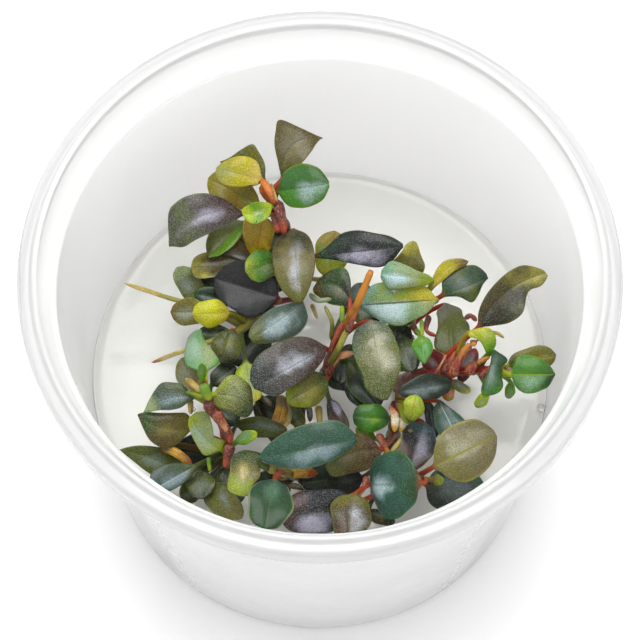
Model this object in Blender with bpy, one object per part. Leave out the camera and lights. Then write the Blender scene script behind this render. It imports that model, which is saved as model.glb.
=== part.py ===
"""A clump of bucephalandra in clear gel, in an open round clear cup with a wide rim.

Sizes are millimetres until a mesh is made, and METRE turns them into metres.
The origin is the middle of the cup's foot, with +Z up and -Y the front of the clump.
"""
import math
from dataclasses import dataclass

import bmesh
import bpy
from mathutils import Matrix, Vector

METRE = 0.001
GAP = 0.35

# The cup
CUP_HEIGHT = 67.5
RIM_RADIUS = 50.0
BEAD_RADIUS = 46.75
LEDGE_HEIGHT = 61.0
LEDGE_RADIUS = 43.7
WALL_RADIUS_LOW = 36.2
WALL_THICKNESS = 0.9
FLOOR_TOP = 4.9
FLOOR_THICKNESS = 0.9
FOOT_WIDTH = 2.4
SKIRT_DROP = 4.3
CUP_STEPS = 48

# The gel
GEL_TOP = 27.0
GEL_STEPS = 48
POCKET_FLOOR = 23.0
POCKET_ROOM = 1.1

# The plant
STEM_SIDES = 7
PETIOLE_HALF_WIDTH = 0.45
PETIOLE_THICKNESS = 0.8
LEAST_SLOPE = 0.45
BEND_PULL = 0.15
BEND_BEHIND = 0.9
BLADE_THICKNESS = 0.45
TIP_HALF_WIDTH = 0.15
STATIONS = (0.0, 0.15, 0.38, 0.62, 0.85, 1.0)
SMALL_STATIONS = (0.0, 0.3, 0.75, 1.0)
RING = ((-1, 0), (-0.4, 1), (0.4, 1), (1, 0), (0.4, -1), (-0.4, -1))
SMALL_RING = ((-1, 0), (0, 1), (1, 0), (0, -1))
TOWARDS_LIGHT = Vector((0.0, -0.44, 0.9))


@dataclass
class Stem:
    """One stem as a soft line of points, thickest at the gel."""
    name: str
    points: tuple
    foot_radius: float
    end_radius: float


@dataclass
class Leaf:
    """One leaf: the petiole leaves its stem at a fraction of the stem's length.

    heel is where the blade starts and tip is its point. lean turns the blade about its midrib,
    rise and swing bow the midrib up and to the side, and cup drops the two edges.
    """
    name: str
    tone: str
    stem: str
    at: float
    heel: tuple
    tip: tuple
    width: float
    lean: float = 0.0
    rise: float = 0.0
    swing: float = 0.0
    cup: float = 0.0
    heel_taper: float = 0.5
    tip_taper: float = 0.5


TONES = {
    "yellow": (0.45, 0.42, 0.08),
    "green": (0.14, 0.27, 0.07),
    "pale": (0.3, 0.4, 0.3),
    "olive": (0.15, 0.15, 0.05),
    "brown": (0.13, 0.08, 0.06),
    "blue": (0.09, 0.14, 0.16),
    "dark": (0.03, 0.05, 0.04),
}

STEMS = [
    Stem("stem_back", ((-4, 17.5, 23.5), (-4, 17.5, 28), (-5, 18.5, 40), (-6.3, 19.5, 47),
                       (-8.4, 21, 53), (-9.8, 21.5, 56)), 1.3, 0.9),
    Stem("stem_left", ((-9, 12, 23.5), (-9, 12, 28), (-8.5, 10, 36), (-10, 6.5, 40),
                       (-12.5, 2.5, 42), (-14.5, 0, 43.5)), 1.2, 0.8),
    Stem("stem_shoot", ((-16, -17.5, 23.5), (-16, -17.5, 28), (-15.5, -19, 38), (-16, -17.5, 43),
                        (-17.5, -15.5, 47), (-19, -14.5, 51), (-19.5, -13, 54)), 1.3, 0.7),
    Stem("stem_centre", ((-0.5, -2.5, 23.5), (-0.5, -2.5, 28), (1, -4.5, 38), (2.5, -3, 45),
                         (4.5, -1.5, 51), (6.5, 0.5, 56), (8.5, 4, 60)), 1.4, 0.6),
    Stem("stem_right", ((13.5, -2.5, 23.5), (13.5, -2.5, 28), (14.5, -5, 36), (17.5, -7, 43),
                        (22, -8.5, 47), (26.5, -9.5, 50), (30.5, -11.5, 53)), 1.4, 0.8),
    Stem("stem_front_right", ((12.5, -13, 23.5), (12.5, -13, 28), (12.5, -14.5, 36),
                              (13, -13.5, 42), (13.5, -12, 46)), 1.5, 0.9),
    Stem("stem_back_right", ((14, 6, 23.5), (14, 6, 28), (14.5, 3.5, 38), (16, 3.8, 44),
                             (17.3, 5.1, 48.5)), 1.2, 0.8),
    Stem("stem_front", ((-2, -18.5, 23.5), (-2, -18.5, 28), (-4, -23.5, 38), (-6, -26, 45),
                        (-8.5, -27, 49)), 1.2, 0.8),
    Stem("stem_low_right", ((14.5, -18.5, 23.5), (14.5, -18.5, 28), (14.5, -20.5, 33),
                            (15.3, -25.5, 42), (16.4, -28.5, 48)), 1.2, 0.9),
]

LEAVES = [
    Leaf("back_tall", "olive", "stem_back", 0.93, (-6.3, 23.8, 55), (0.5, 30, 58), 7.8,
         rise=0.1, swing=0.3, cup=-0.15, heel_taper=0.75, tip_taper=0.35),
    Leaf("back_green", "green", "stem_back", 0.8, (-7, 20.5, 57), (1.5, 20.3, 60), 7.8,
         rise=0.05, cup=0.3, heel_taper=0.42, tip_taper=0.4),
    Leaf("back_yellow", "yellow", "stem_back", 1.0, (-10, 22.2, 58), (-17.5, 23.7, 59), 5.6,
         rise=0.1, cup=0.2, tip_taper=0.45),
    Leaf("back_grey", "olive", "stem_back", 0.82, (-9.5, 23.8, 54.3), (-17, 27, 55), 8,
         swing=-0.12, cup=-0.1, heel_taper=0.4, tip_taper=0.9),
    Leaf("back_ochre", "olive", "stem_back", 0.75, (-10.5, 21.3, 50.5), (-19, 25.8, 51.5), 6,
         rise=0.05, heel_taper=0.6),
    Leaf("back_brown", "brown", "stem_back", 0.55, (-13, 18.7, 52), (-25.5, 13, 51), 9,
         rise=0.12, swing=-0.18, cup=0.15, heel_taper=0.6, tip_taper=0.45),
    Leaf("back_hanging", "yellow", "stem_back", 0.65, (-9.5, 17.5, 53), (-11, 13, 46), 5.8,
         rise=0.1, cup=0.25),
    Leaf("left_fresh", "green", "stem_back", 0.5, (-13, 19, 48), (-19, 13.5, 46), 5, lean=50),
    Leaf("left_band", "olive", "stem_left", 0.45, (-12.5, 13, 44), (-22, 12.5, 44), 5, lean=25,
         heel_taper=0.7, tip_taper=0.35),
    Leaf("left_dark", "dark", "stem_left", 0.55, (-7.2, 6.3, 45), (-18, 10, 45), 9.2,
         cup=-0.1, tip_taper=0.6),
    Leaf("centre_golden", "brown", "stem_back", 0.5, (-4.5, 16, 50), (-3.5, 3, 50), 7.4,
         rise=0.16, cup=0.2, heel_taper=0.45, tip_taper=0.4),
    Leaf("left_yellow", "yellow", "stem_left", 0.86, (-15.5, 2.9, 46), (-21.5, 2.4, 47), 4.8,
         rise=0.1, cup=0.3),
    Leaf("left_speckled", "dark", "stem_left", 1.0, (-15, -1, 47), (-16.5, -6.5, 46), 5.2,
         rise=0.1, cup=0.2, heel_taper=0.45),
    Leaf("shoot_pale", "pale", "stem_shoot", 0.88, (-19.2, -10.7, 52), (-20, -2, 50), 6.6,
         rise=0.1, cup=0.3, heel_taper=0.7, tip_taper=0.7),
    Leaf("shoot_grey", "blue", "stem_shoot", 0.75, (-21, -14, 49), (-29.5, -16, 47), 5.2,
         rise=0.08, swing=-0.12, cup=0.2),
    Leaf("shoot_olive", "olive", "stem_shoot", 0.5, (-21.5, -17.5, 44), (-30.5, -16, 46), 6.4,
         rise=0.08, swing=0.12, cup=0.2, tip_taper=0.7),
    Leaf("shoot_light", "green", "stem_shoot", 0.42, (-17.5, -21, 44), (-21.5, -17, 48), 6.2,
         swing=0.1, cup=-0.2),
    Leaf("shoot_speckled", "blue", "stem_shoot", 0.78, (-16.2, -14.3, 51), (-11.4, -16, 48), 8,
         rise=0.2, swing=0.15, cup=0.2, heel_taper=0.45, tip_taper=0.45),
    Leaf("front_olive", "olive", "stem_front", 0.55, (-13, -23.2, 47), (-12, -31.5, 48), 6,
         rise=0.14, cup=0.15, heel_taper=0.45, tip_taper=0.4),
    Leaf("front_low", "olive", "stem_shoot", 0.2, (-19, -25.8, 38), (-13, -32.3, 40.5), 5.2,
         rise=0.05, tip_taper=0.6),
    Leaf("front_blue", "blue", "stem_shoot", 0.44, (-20.8, -24, 43), (-28, -29, 44), 6.4,
         cup=0.1, tip_taper=0.7),
    Leaf("front_point", "dark", "stem_shoot", 0.4, (-21.8, -23.7, 37.5), (-33.5, -20.8, 42.5), 5,
         swing=-0.05, cup=-0.1, heel_taper=0.6, tip_taper=0.9),
    Leaf("front_round", "dark", "stem_front", 0.85, (-7.5, -30.5, 52), (-9, -39.5, 53), 7.6,
         rise=0.05, cup=0.1, heel_taper=0.4, tip_taper=0.4),
    Leaf("front_purple", "dark", "stem_low_right", 0.5, (5.5, -31.5, 44), (-6.5, -35, 47), 7.6,
         rise=0.05, cup=0.3),
    Leaf("front_mauve", "brown", "stem_low_right", 0.6, (5.5, -30.8, 46.5), (4.5, -39.8, 46.5), 6.8,
         rise=0.1, cup=0.2, heel_taper=0.3),
    Leaf("mid_mauve", "brown", "stem_front_right", 0.55, (10, -22, 45), (1, -26.5, 48), 7,
         swing=-0.1, cup=0.2),
    Leaf("long_teal", "blue", "stem_front", 1.0, (-10, -26, 51), (6, -24, 54), 8.4,
         rise=0.08, cup=0.2, tip_taper=0.3),
    Leaf("big_grey", "brown", "stem_centre", 0.4, (1, -5.5, 50), (-11, -14, 53), 9,
         rise=0.12, cup=0.15, tip_taper=0.4),
    Leaf("under_green", "olive", "stem_centre", 0.35, (1, -9.5, 46), (-5.5, -14, 47), 5.6,
         rise=0.08, cup=0.2, heel_taper=0.4),
    Leaf("blue_grey", "blue", "stem_left", 0.35, (-3, 4.8, 46), (-11.5, -3.5, 49), 6.4,
         rise=0.1, cup=0.3, heel_taper=0.35, tip_taper=0.4),
    Leaf("curled_dark", "dark", "stem_centre", 0.65, (5, 3.5, 50), (-1.2, 6, 49), 6.4,
         swing=-0.25, cup=0.2, heel_taper=0.45, tip_taper=0.6),
    Leaf("long_blue", "blue", "stem_back", 0.42, (-0.5, 11.7, 50), (14, 12, 53), 6.2,
         rise=0.06, cup=0.25, heel_taper=0.7, tip_taper=0.42),
    Leaf("back_olive", "olive", "stem_back_right", 0.75, (14, 10, 45), (16, 15.5, 48), 5),
    Leaf("pale_blue", "pale", "stem_back_right", 1.0, (18.7, 5.3, 54), (10.2, 5.4, 56), 5.2,
         rise=0.12, cup=0.3, heel_taper=0.7, tip_taper=0.35),
    Leaf("right_green", "green", "stem_back_right", 0.8, (20.8, 4.6, 49.5), (28.4, 7.5, 50), 5.8,
         cup=0.1, heel_taper=0.6, tip_taper=0.35),
    Leaf("right_brown", "brown", "stem_right", 0.58, (26.8, -1.5, 50), (38, 6.5, 54), 6.6,
         swing=0.12, cup=-0.1, heel_taper=0.45, tip_taper=0.4),
    Leaf("big_yellow", "yellow", "stem_back_right", 0.9, (19.5, 3, 51), (7, 2, 51), 7.4,
         rise=0.1, cup=0.2),
    Leaf("right_grey", "olive", "stem_back_right", 0.55, (21.5, 5.5, 44), (22.5, -5, 45), 6.4,
         rise=0.1, heel_taper=0.35, tip_taper=0.45),
    Leaf("centre_olive", "olive", "stem_centre", 0.6, (8.5, -1, 51), (11, -15, 50), 8,
         rise=0.15, cup=0.15, heel_taper=0.4, tip_taper=0.35),
    Leaf("sprig_end", "green", "stem_right", 1.0, (31.8, -12.7, 55), (39, -12.7, 55), 6.6,
         rise=0.06, cup=0.25, heel_taper=0.45),
    Leaf("sprig_dark", "dark", "stem_right", 0.85, (29, -8.5, 55), (27.1, -16, 54), 4.2,
         rise=0.1, cup=0.25, heel_taper=0.45),
    Leaf("sprig_curl", "green", "stem_right", 0.75, (25.5, -4, 54), (27.7, -7.5, 52.8), 5,
         rise=0.15, swing=0.2, cup=0.3, tip_taper=0.6),
    Leaf("right_long", "dark", "stem_right", 0.62, (22, -11.5, 49), (13, -14, 51), 4.4,
         rise=0.05, tip_taper=0.6),
    Leaf("low_olive", "olive", "stem_low_right", 0.9, (18.8, -29.7, 56), (29, -24.5, 57), 8.4,
         rise=0.04, cup=0.1, heel_taper=0.6, tip_taper=0.35),
    Leaf("low_teal", "blue", "stem_low_right", 1.0, (16.2, -32.3, 55), (8.3, -29, 47), 11,
         rise=0.15, cup=0.2, heel_taper=0.35, tip_taper=0.4),
    Leaf("low_green", "green", "stem_low_right", 0.66, (17.8, -27, 42), (27.6, -28.5, 41), 8.4,
         cup=0.1, heel_taper=0.45),
    Leaf("low_blue", "blue", "stem_front_right", 0.7, (17.4, -16.5, 44), (15, -25.5, 45), 6.2,
         rise=0.05, heel_taper=0.45),
    Leaf("low_slate", "blue", "stem_front_right", 0.9, (20, -13.5, 46), (23.5, -21.5, 46), 5.4,
         cup=0.1, heel_taper=0.6, tip_taper=0.6),
    Leaf("small_green", "green", "stem_front_right", 0.85, (11.5, -16.7, 46), (5.5, -16.7, 47), 4.8,
         rise=0.1, cup=0.2, heel_taper=0.45, tip_taper=0.4),
]

# Small leaves, curled leaf tips and cut stalks, each one body with its stem
SMALL_LEAVES = [
    Leaf("left_round", "green", "stem_back", 0.3, (-8, 10.5, 49), (-12.5, 8.5, 50), 4.4, cup=0.2),
    Leaf("small_curl", "dark", "stem_back", 0.9, (-9, 18, 57), (-13, 17.5, 56), 2.4, cup=0.3),
    Leaf("left_shadow", "brown", "stem_back", 0.38, (-10.5, 14.5, 42), (-14, 18, 45), 4),
    Leaf("left_grey", "olive", "stem_left", 0.85, (-20, 8, 40), (-24.5, 13, 43), 4.4, cup=-0.1),
    Leaf("left_brown", "brown", "stem_left", 0.9, (-19, 5.5, 41), (-25.5, 5.5, 41), 4.8),
    Leaf("left_deep", "dark", "stem_left", 0.7, (-15, 7.5, 41), (-21.5, 8.5, 42), 3.4),
    Leaf("left_lime", "yellow", "stem_left", 0.95, (-12.5, -5.5, 44), (-11.5, -12.5, 43), 5,
         cup=0.1),
    Leaf("twig_upper", "olive", "stem_left", 0.8, (-25.5, 8.5, 40), (-33.5, 10.5, 42), 0.8),
    Leaf("twig_lower", "olive", "stem_left", 0.97, (-22.5, -2, 42), (-28.5, -4.5, 42), 0.8),
    Leaf("shoot_brown", "brown", "stem_shoot", 0.8, (-20, -11.5, 46), (-23.5, -4.5, 44), 4.8),
    Leaf("new_shoot", "yellow", "stem_shoot", 0.98, (-19.5, -13.5, 55), (-19.5, -12.5, 59), 1.6),
    Leaf("yellow_sheath", "yellow", "stem_shoot", 0.9, (-20, -14, 51), (-22.5, -11.5, 51), 2.6),
    Leaf("low_dark", "dark", "stem_shoot", 0.35, (-14, -15, 40), (-5.5, -17, 42), 3.8, lean=20),
    Leaf("front_small", "green", "stem_shoot", 0.3, (-14, -20, 44), (-10.5, -19, 45.5), 2.2),
    Leaf("front_lime", "yellow", "stem_shoot", 0.1, (-20, -23.5, 34), (-23.5, -26.5, 35.5), 4),
    Leaf("mid_black", "dark", "stem_front_right", 0.3, (7, -25, 40), (1, -27, 43), 5),
    Leaf("lime_tip", "yellow", "stem_front_right", 0.35, (9, -18.5, 42), (6, -17.5, 44), 2.4),
    Leaf("dark_fold", "dark", "stem_front_right", 0.6, (18, -12, 43), (19.5, -18, 41), 2.2),
    Leaf("small_lime", "yellow", "stem_front_right", 0.95, (15, -19, 50), (16, -15, 52), 3.6,
         rise=0.15, cup=0.2, heel_taper=0.6),
    Leaf("dark_under", "dark", "stem_centre", 0.25, (5, -5, 44), (10, -14, 45), 5.4),
    Leaf("slate_fold", "blue", "stem_centre", 0.3, (2.5, -10, 40), (5.5, -17.5, 42), 3),
    Leaf("black_under", "dark", "stem_centre", 0.4, (5.5, -1.5, 42), (3.5, -8, 41), 4.6),
    Leaf("back_slate", "blue", "stem_centre", 0.45, (4.5, 5, 44), (8.5, 8.5, 45), 4),
    Leaf("mid_yellow", "yellow", "stem_back", 0.25, (1.5, 12.5, 40), (2.5, 20, 43), 6),
    Leaf("sprig_back", "olive", "stem_right", 0.97, (31.5, -8.7, 50), (39.5, -7.2, 51), 4.6,
         cup=0.1),
    Leaf("sprig_point", "yellow", "stem_right", 0.85, (28, -13.5, 49), (26, -15, 47), 2),
    Leaf("sprig_small", "green", "stem_right", 0.95, (32, -11.5, 49), (31.5, -13.5, 47), 1.8),
    Leaf("olive_tip", "olive", "stem_right", 0.75, (23, -10.2, 46), (25.5, -12, 45), 3),
    Leaf("right_heart", "green", "stem_back_right", 0.6, (17, -3.5, 50), (17.5, -8.5, 50), 3.5,
         rise=0.05, cup=0.1, heel_taper=0.4, tip_taper=0.8),
    Leaf("right_shadow", "dark", "stem_back_right", 0.5, (15.5, 0, 42), (11, 1.5, 43), 4),
    Leaf("right_olive", "olive", "stem_back_right", 0.35, (15.5, -2, 42), (13, -5.5, 41), 3.4),
    Leaf("yellow_curl", "yellow", "stem_back_right", 0.7, (20.5, 8, 50.5), (25, 9.5, 52.5), 1.4,
         swing=0.15),
    Leaf("mid_olive", "olive", "stem_front", 0.15, (-3, -14.5, 38), (-5.5, -11, 40), 3),
    Leaf("low_stub", "yellow", "stem_low_right", 0.85, (18.6, -29.3, 49.5), (20.4, -29.8, 50.5), 1.8),
    Leaf("front_strip", "dark", "stem_low_right", 0.3, (8.5, -31.5, 41), (14, -34, 42), 3),
]


def clear_scene():
    for thing in list(bpy.data.objects):
        bpy.data.objects.remove(thing, do_unlink=True)


def material(name, colour, roughness, transmission=0.0, ior=1.45):
    """One Principled material with a plain colour."""
    made = bpy.data.materials.new(name)
    made.use_nodes = True
    shader = made.node_tree.nodes["Principled BSDF"]
    shader.inputs["Base Color"].default_value = (*colour, 1.0)
    shader.inputs["Roughness"].default_value = roughness
    shader.inputs["Metallic"].default_value = 0.0
    shader.inputs["Transmission Weight"].default_value = transmission
    shader.inputs["IOR"].default_value = ior
    made.diffuse_color = (*colour, 1.0)
    return made


def add_object(name, shape, finish):
    """Turn a bmesh in millimetres into a smooth-shaded object in metres."""
    bmesh.ops.recalc_face_normals(shape, faces=shape.faces)
    bmesh.ops.scale(shape, vec=(METRE, METRE, METRE), verts=shape.verts)
    mesh = bpy.data.meshes.new(name)
    shape.to_mesh(mesh)
    shape.free()
    mesh.shade_smooth()
    mesh.set_sharp_from_angle(angle=math.radians(40))
    made = bpy.data.objects.new(name, mesh)
    bpy.context.collection.objects.link(made)
    mesh.materials.append(finish)
    return made


def turned(profile, steps):
    """Spin an outline of (radius, height) points, which starts and ends on the axis, about Z."""
    shape = bmesh.new()
    points = [shape.verts.new((radius, 0, height)) for radius, height in profile]
    edges = [shape.edges.new(pair) for pair in zip(points, points[1:])]
    bmesh.ops.spin(shape, geom=points + edges, cent=(0, 0, 0), axis=(0, 0, 1),
                   angle=2 * math.pi, steps=steps, use_duplicate=False)
    bmesh.ops.remove_doubles(shape, verts=shape.verts, dist=0.001)
    return shape


def wall_inside(height):
    """Inner radius of the cup's tapering wall at a height."""
    share = (height - FLOOR_TOP) / (LEDGE_HEIGHT - FLOOR_TOP)
    return WALL_RADIUS_LOW + (LEDGE_RADIUS - WALL_RADIUS_LOW) * share


def cup_profile():
    """Outline of the cup's wall: foot, outside, rim and skirt, then down the inside."""
    foot_outer = wall_inside(0) + WALL_THICKNESS
    foot_inner = foot_outer - FOOT_WIDTH
    under_floor = FLOOR_TOP - FLOOR_THICKNESS
    skirt_inner = RIM_RADIUS - WALL_THICKNESS
    under_rim = CUP_HEIGHT - 2.1
    outside = [
        (0, under_floor), (foot_inner - 0.8, under_floor), (foot_inner, under_floor - 0.8),
        (foot_inner, 0), (foot_outer - 0.7, 0), (foot_outer, 0.7),
        (wall_inside(LEDGE_HEIGHT) + WALL_THICKNESS, LEDGE_HEIGHT - 0.8),
        (BEAD_RADIUS + 0.7, under_rim), (skirt_inner, under_rim - 0.4),
        (skirt_inner, CUP_HEIGHT - SKIRT_DROP), (RIM_RADIUS, CUP_HEIGHT - SKIRT_DROP),
        (RIM_RADIUS, CUP_HEIGHT - 1.2), (RIM_RADIUS - 0.4, CUP_HEIGHT - 0.7),
        (BEAD_RADIUS + 1.3, CUP_HEIGHT - 0.45), (BEAD_RADIUS + 0.8, CUP_HEIGHT),
        (BEAD_RADIUS, CUP_HEIGHT),
    ]
    inside = [
        (LEDGE_RADIUS + 0.9, LEDGE_HEIGHT + 0.3), (LEDGE_RADIUS, LEDGE_HEIGHT),
        (wall_inside(FLOOR_TOP + 1.4), FLOOR_TOP + 1.4), (WALL_RADIUS_LOW - 1.3, FLOOR_TOP),
        (0, FLOOR_TOP),
    ]
    return outside + inside


def gel_profile():
    """Outline of the gel, which fills the cup up to GEL_TOP with a small gap all round."""
    bottom = FLOOR_TOP + GAP
    return [
        (0, bottom), (WALL_RADIUS_LOW - 1.7, bottom),
        (wall_inside(bottom + 1.7) - GAP, bottom + 1.7),
        (wall_inside(GEL_TOP) - GAP, GEL_TOP), (0, GEL_TOP),
    ]


def smooth_line(points, cuts=2):
    """Points on a soft curve through the given ones."""
    corners = [Vector(point) for point in points]
    ends = [2 * corners[0] - corners[1]] + corners + [2 * corners[-1] - corners[-2]]
    line = []
    for i in range(1, len(corners)):
        before, start, end, after = ends[i - 1:i + 3]
        for cut in range(cuts):
            t = cut / cuts
            line.append(0.5 * ((2 * start) + (end - before) * t
                               + (2 * before - 5 * start + 4 * end - after) * t * t
                               + (3 * start - before - 3 * end + after) * t ** 3))
    return line + [corners[-1]]


def line_point(line, share):
    """The point and the direction at a share of a line's length."""
    lengths = [(line[i + 1] - line[i]).length for i in range(len(line) - 1)]
    left = share * sum(lengths)
    for i, length in enumerate(lengths):
        if left <= length or i == len(lengths) - 1:
            step = line[i + 1] - line[i]
            return line[i] + step * min(left / length, 1.0), step.normalized()
        left -= length


def stem_radius(stem, share):
    return stem.foot_radius + (stem.end_radius - stem.foot_radius) * share


def skin_rings(shape, rings):
    """Join rings of points into one closed body."""
    loops = [[shape.verts.new(point) for point in ring] for ring in rings]
    count = len(loops[0])
    for low, high in zip(loops, loops[1:]):
        for i in range(count):
            j = (i + 1) % count
            shape.faces.new((low[i], low[j], high[j], high[i]))
    shape.faces.new(list(reversed(loops[0])))
    shape.faces.new(loops[-1])
    bmesh.ops.triangulate(shape, faces=shape.faces)


def tube(line, radii, sides):
    """A round stem along a line, with closed ends."""
    shape = bmesh.new()
    rings = []
    across = Vector((1, 0, 0))
    for i, point in enumerate(line):
        ahead = (line[min(i + 1, len(line) - 1)] - line[max(i - 1, 0)]).normalized()
        across = (across - ahead * across.dot(ahead)).normalized()
        other = ahead.cross(across)
        rings.append([point + (across * math.cos(turn) + other * math.sin(turn)) * radii[i]
                      for turn in (2 * math.pi * k / sides for k in range(sides))])
    skin_rings(shape, rings)
    return shape


def width_share(leaf, share):
    """The outline of a blade: 0 at its ends and 1 where it is widest."""
    widest = leaf.heel_taper / (leaf.heel_taper + leaf.tip_taper)
    return ((share / widest) ** leaf.heel_taper
            * ((1 - share) / (1 - widest)) ** leaf.tip_taper)


def blade_axes(leaf):
    """Directions along the blade, out of its upper face, and to its left."""
    along = (Vector(leaf.tip) - Vector(leaf.heel)).normalized()
    face = (TOWARDS_LIGHT - along * TOWARDS_LIGHT.dot(along)).normalized()
    face.rotate(Matrix.Rotation(math.radians(leaf.lean), 3, along))
    return along, face, face.cross(along)


def blade_point(leaf, share, across):
    """A point of the blade's middle surface: share 0 to 1 along, across -1 to 1."""
    along, face, left = blade_axes(leaf)
    heel, tip = Vector(leaf.heel), Vector(leaf.tip)
    length = (tip - heel).length
    bow = 4 * share * (1 - share) * length
    half = max(leaf.width / 2 * width_share(leaf, share),
               PETIOLE_HALF_WIDTH if share < 0.5 else TIP_HALF_WIDTH)
    middle = heel.lerp(tip, share) + face * bow * leaf.rise + left * bow * leaf.swing
    drop = leaf.cup * across * across * half
    return middle + left * across * half - face * drop


def petiole_start(leaf, stem, inside):
    """Where the petiole begins: in the stem's middle, or clear of its skin."""
    line = smooth_line(stem.points)
    node, direction = line_point(line, leaf.at)
    if inside:
        return node
    out = (Vector(leaf.heel) - node).normalized()
    upward = out.dot(direction)
    sideways = math.sqrt(1 - upward ** 2)
    away = stem_radius(stem, leaf.at) + 1.5 * GAP + PETIOLE_HALF_WIDTH * abs(upward)
    away /= max(sideways, LEAST_SLOPE)
    if leaf.at == 1.0 and upward > 0.5:
        away = min(away, (2 * GAP + PETIOLE_HALF_WIDTH * sideways) / upward)
    return node + out * away


def leaf_shape(leaf, stem, stations, outline, inside=False):
    """A leaf as one closed body: a petiole that opens into a thin lens-shaped blade."""
    along, face, left = blade_axes(leaf)
    start = petiole_start(leaf, stem, inside)
    heel = Vector(leaf.heel)
    bend = start.lerp(heel, 0.6)
    bend -= along * max(BEND_PULL * (heel - start).length, BEND_BEHIND - along.dot(heel - bend))
    first = (bend - start).normalized()
    second = (first + (heel - bend).normalized()).normalized()
    rings = []
    for point, ahead in ((start, first), (bend, second)):
        side = (left - ahead * left.dot(ahead)).normalized() * PETIOLE_HALF_WIDTH
        top = ahead.cross(side).normalized() * PETIOLE_THICKNESS / 2
        rings.append([point + side * across + top * height for across, height in outline])
    for share in stations:
        fade = min(share / 0.2, 1.0)
        thick = PETIOLE_THICKNESS + (BLADE_THICKNESS - PETIOLE_THICKNESS) * fade
        thick = thick / 2 * (1.0 if share < 0.95 else 0.5)
        ring = []
        for across, height in outline:
            ring.append(blade_point(leaf, share, across) + face * thick * height)
        rings.append(ring)
    shape = bmesh.new()
    skin_rings(shape, rings)
    return shape


def join_shapes(shapes):
    """Put several bmeshes into one."""
    joined = bmesh.new()
    for shape in shapes:
        piece = bpy.data.meshes.new("piece")
        bmesh.ops.recalc_face_normals(shape, faces=shape.faces)
        shape.to_mesh(piece)
        joined.from_mesh(piece)
        shape.free()
        bpy.data.meshes.remove(piece)
    return joined


def boolean(target, name, shape, finish, operation):
    """Cut or join a helper body, which is hidden, to an object."""
    helper = add_object(name, shape, finish)
    helper.hide_render = True
    helper.display_type = "WIRE"
    modifier = target.modifiers.new(operation.lower(), "BOOLEAN")
    modifier.object = helper
    modifier.operation = operation
    modifier.solver = "EXACT"


def build_cup(finish):
    add_object("cup", turned(cup_profile(), CUP_STEPS), finish)


def build_gel(finish):
    """The gel, with a pocket for each stem's foot."""
    gel = add_object("gel", turned(gel_profile(), GEL_STEPS), finish)
    pockets = []
    for stem in STEMS:
        foot = Vector(stem.points[0])
        radius = stem.foot_radius + POCKET_ROOM
        line = [Vector((foot.x, foot.y, POCKET_FLOOR)), Vector((foot.x, foot.y, GEL_TOP + 2))]
        pockets.append(tube(line, (radius, radius), 8))
    boolean(gel, "gel_pockets", join_shapes(pockets), finish, "DIFFERENCE")


def build_stems(finish):
    """The stems, each with its small leaves grown on."""
    for stem in STEMS:
        line = smooth_line(stem.points)
        radii = [stem_radius(stem, i / (len(line) - 1)) for i in range(len(line))]
        body = add_object(stem.name, tube(line, radii, STEM_SIDES), finish)
        for leaf in SMALL_LEAVES:
            if leaf.stem == stem.name:
                shape = leaf_shape(leaf, stem, SMALL_STATIONS, SMALL_RING, inside=True)
                boolean(body, "small_" + leaf.name, shape, finish, "UNION")


def build_leaves():
    stems = {stem.name: stem for stem in STEMS}
    finishes = {tone: material("leaf_" + tone, colour, 0.4) for tone, colour in TONES.items()}
    for leaf in LEAVES:
        shape = leaf_shape(leaf, stems[leaf.stem], STATIONS, RING)
        add_object("leaf_" + leaf.name, shape, finishes[leaf.tone])


def main():
    clear_scene()
    build_cup(material("clear_plastic", (0.93, 0.94, 0.94), 0.12, transmission=1.0, ior=1.49))
    build_gel(material("clear_gel", (0.88, 0.89, 0.85), 0.1, transmission=1.0, ior=1.34))
    build_stems(material("stem_skin", (0.42, 0.13, 0.06), 0.45))
    build_leaves()


main()
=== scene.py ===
# %% [markdown]
# # A clump of bucephalandra in its cup of clear gel
#
# A small water plant grows in clear gel, in an open round cup with a wide rim.
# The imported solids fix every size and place, so they are loaded first.
# All that follows is made around them, in metres, with +Z up and the front of the clump at -Y.

# %% Load the solids
import math
from dataclasses import dataclass

import bpy
from mathutils import Matrix, Vector


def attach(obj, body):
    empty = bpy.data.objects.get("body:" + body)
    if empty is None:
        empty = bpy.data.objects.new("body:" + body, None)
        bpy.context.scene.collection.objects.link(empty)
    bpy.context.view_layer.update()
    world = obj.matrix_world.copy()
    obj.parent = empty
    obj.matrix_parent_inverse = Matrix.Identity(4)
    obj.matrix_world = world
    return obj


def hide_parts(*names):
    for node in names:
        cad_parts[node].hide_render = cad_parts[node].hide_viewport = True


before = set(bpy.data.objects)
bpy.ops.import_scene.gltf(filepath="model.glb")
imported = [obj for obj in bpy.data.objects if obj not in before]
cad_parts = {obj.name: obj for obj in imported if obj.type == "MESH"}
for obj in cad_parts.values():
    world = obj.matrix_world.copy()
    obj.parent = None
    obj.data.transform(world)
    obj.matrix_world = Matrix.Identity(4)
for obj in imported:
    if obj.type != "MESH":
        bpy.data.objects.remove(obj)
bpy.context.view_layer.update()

METRE = 0.001

# %% [markdown]
# ## Camera
#
# The photograph looks down into the cup, so steeply that the rim is nearly a circle.
# A long lens far away keeps that circle from tapering. The camera could also be nearer with a
# wide lens, but then the foot of the cup would look too small beside the rim.

# %% Camera
RIM_HEIGHT = 67.5
VIEW_DISTANCE = 750.0
VIEW_ELEVATION = math.radians(64.05)
VIEW_DIP = math.radians(0.593)
VIEW_LENS = 256.4

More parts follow.
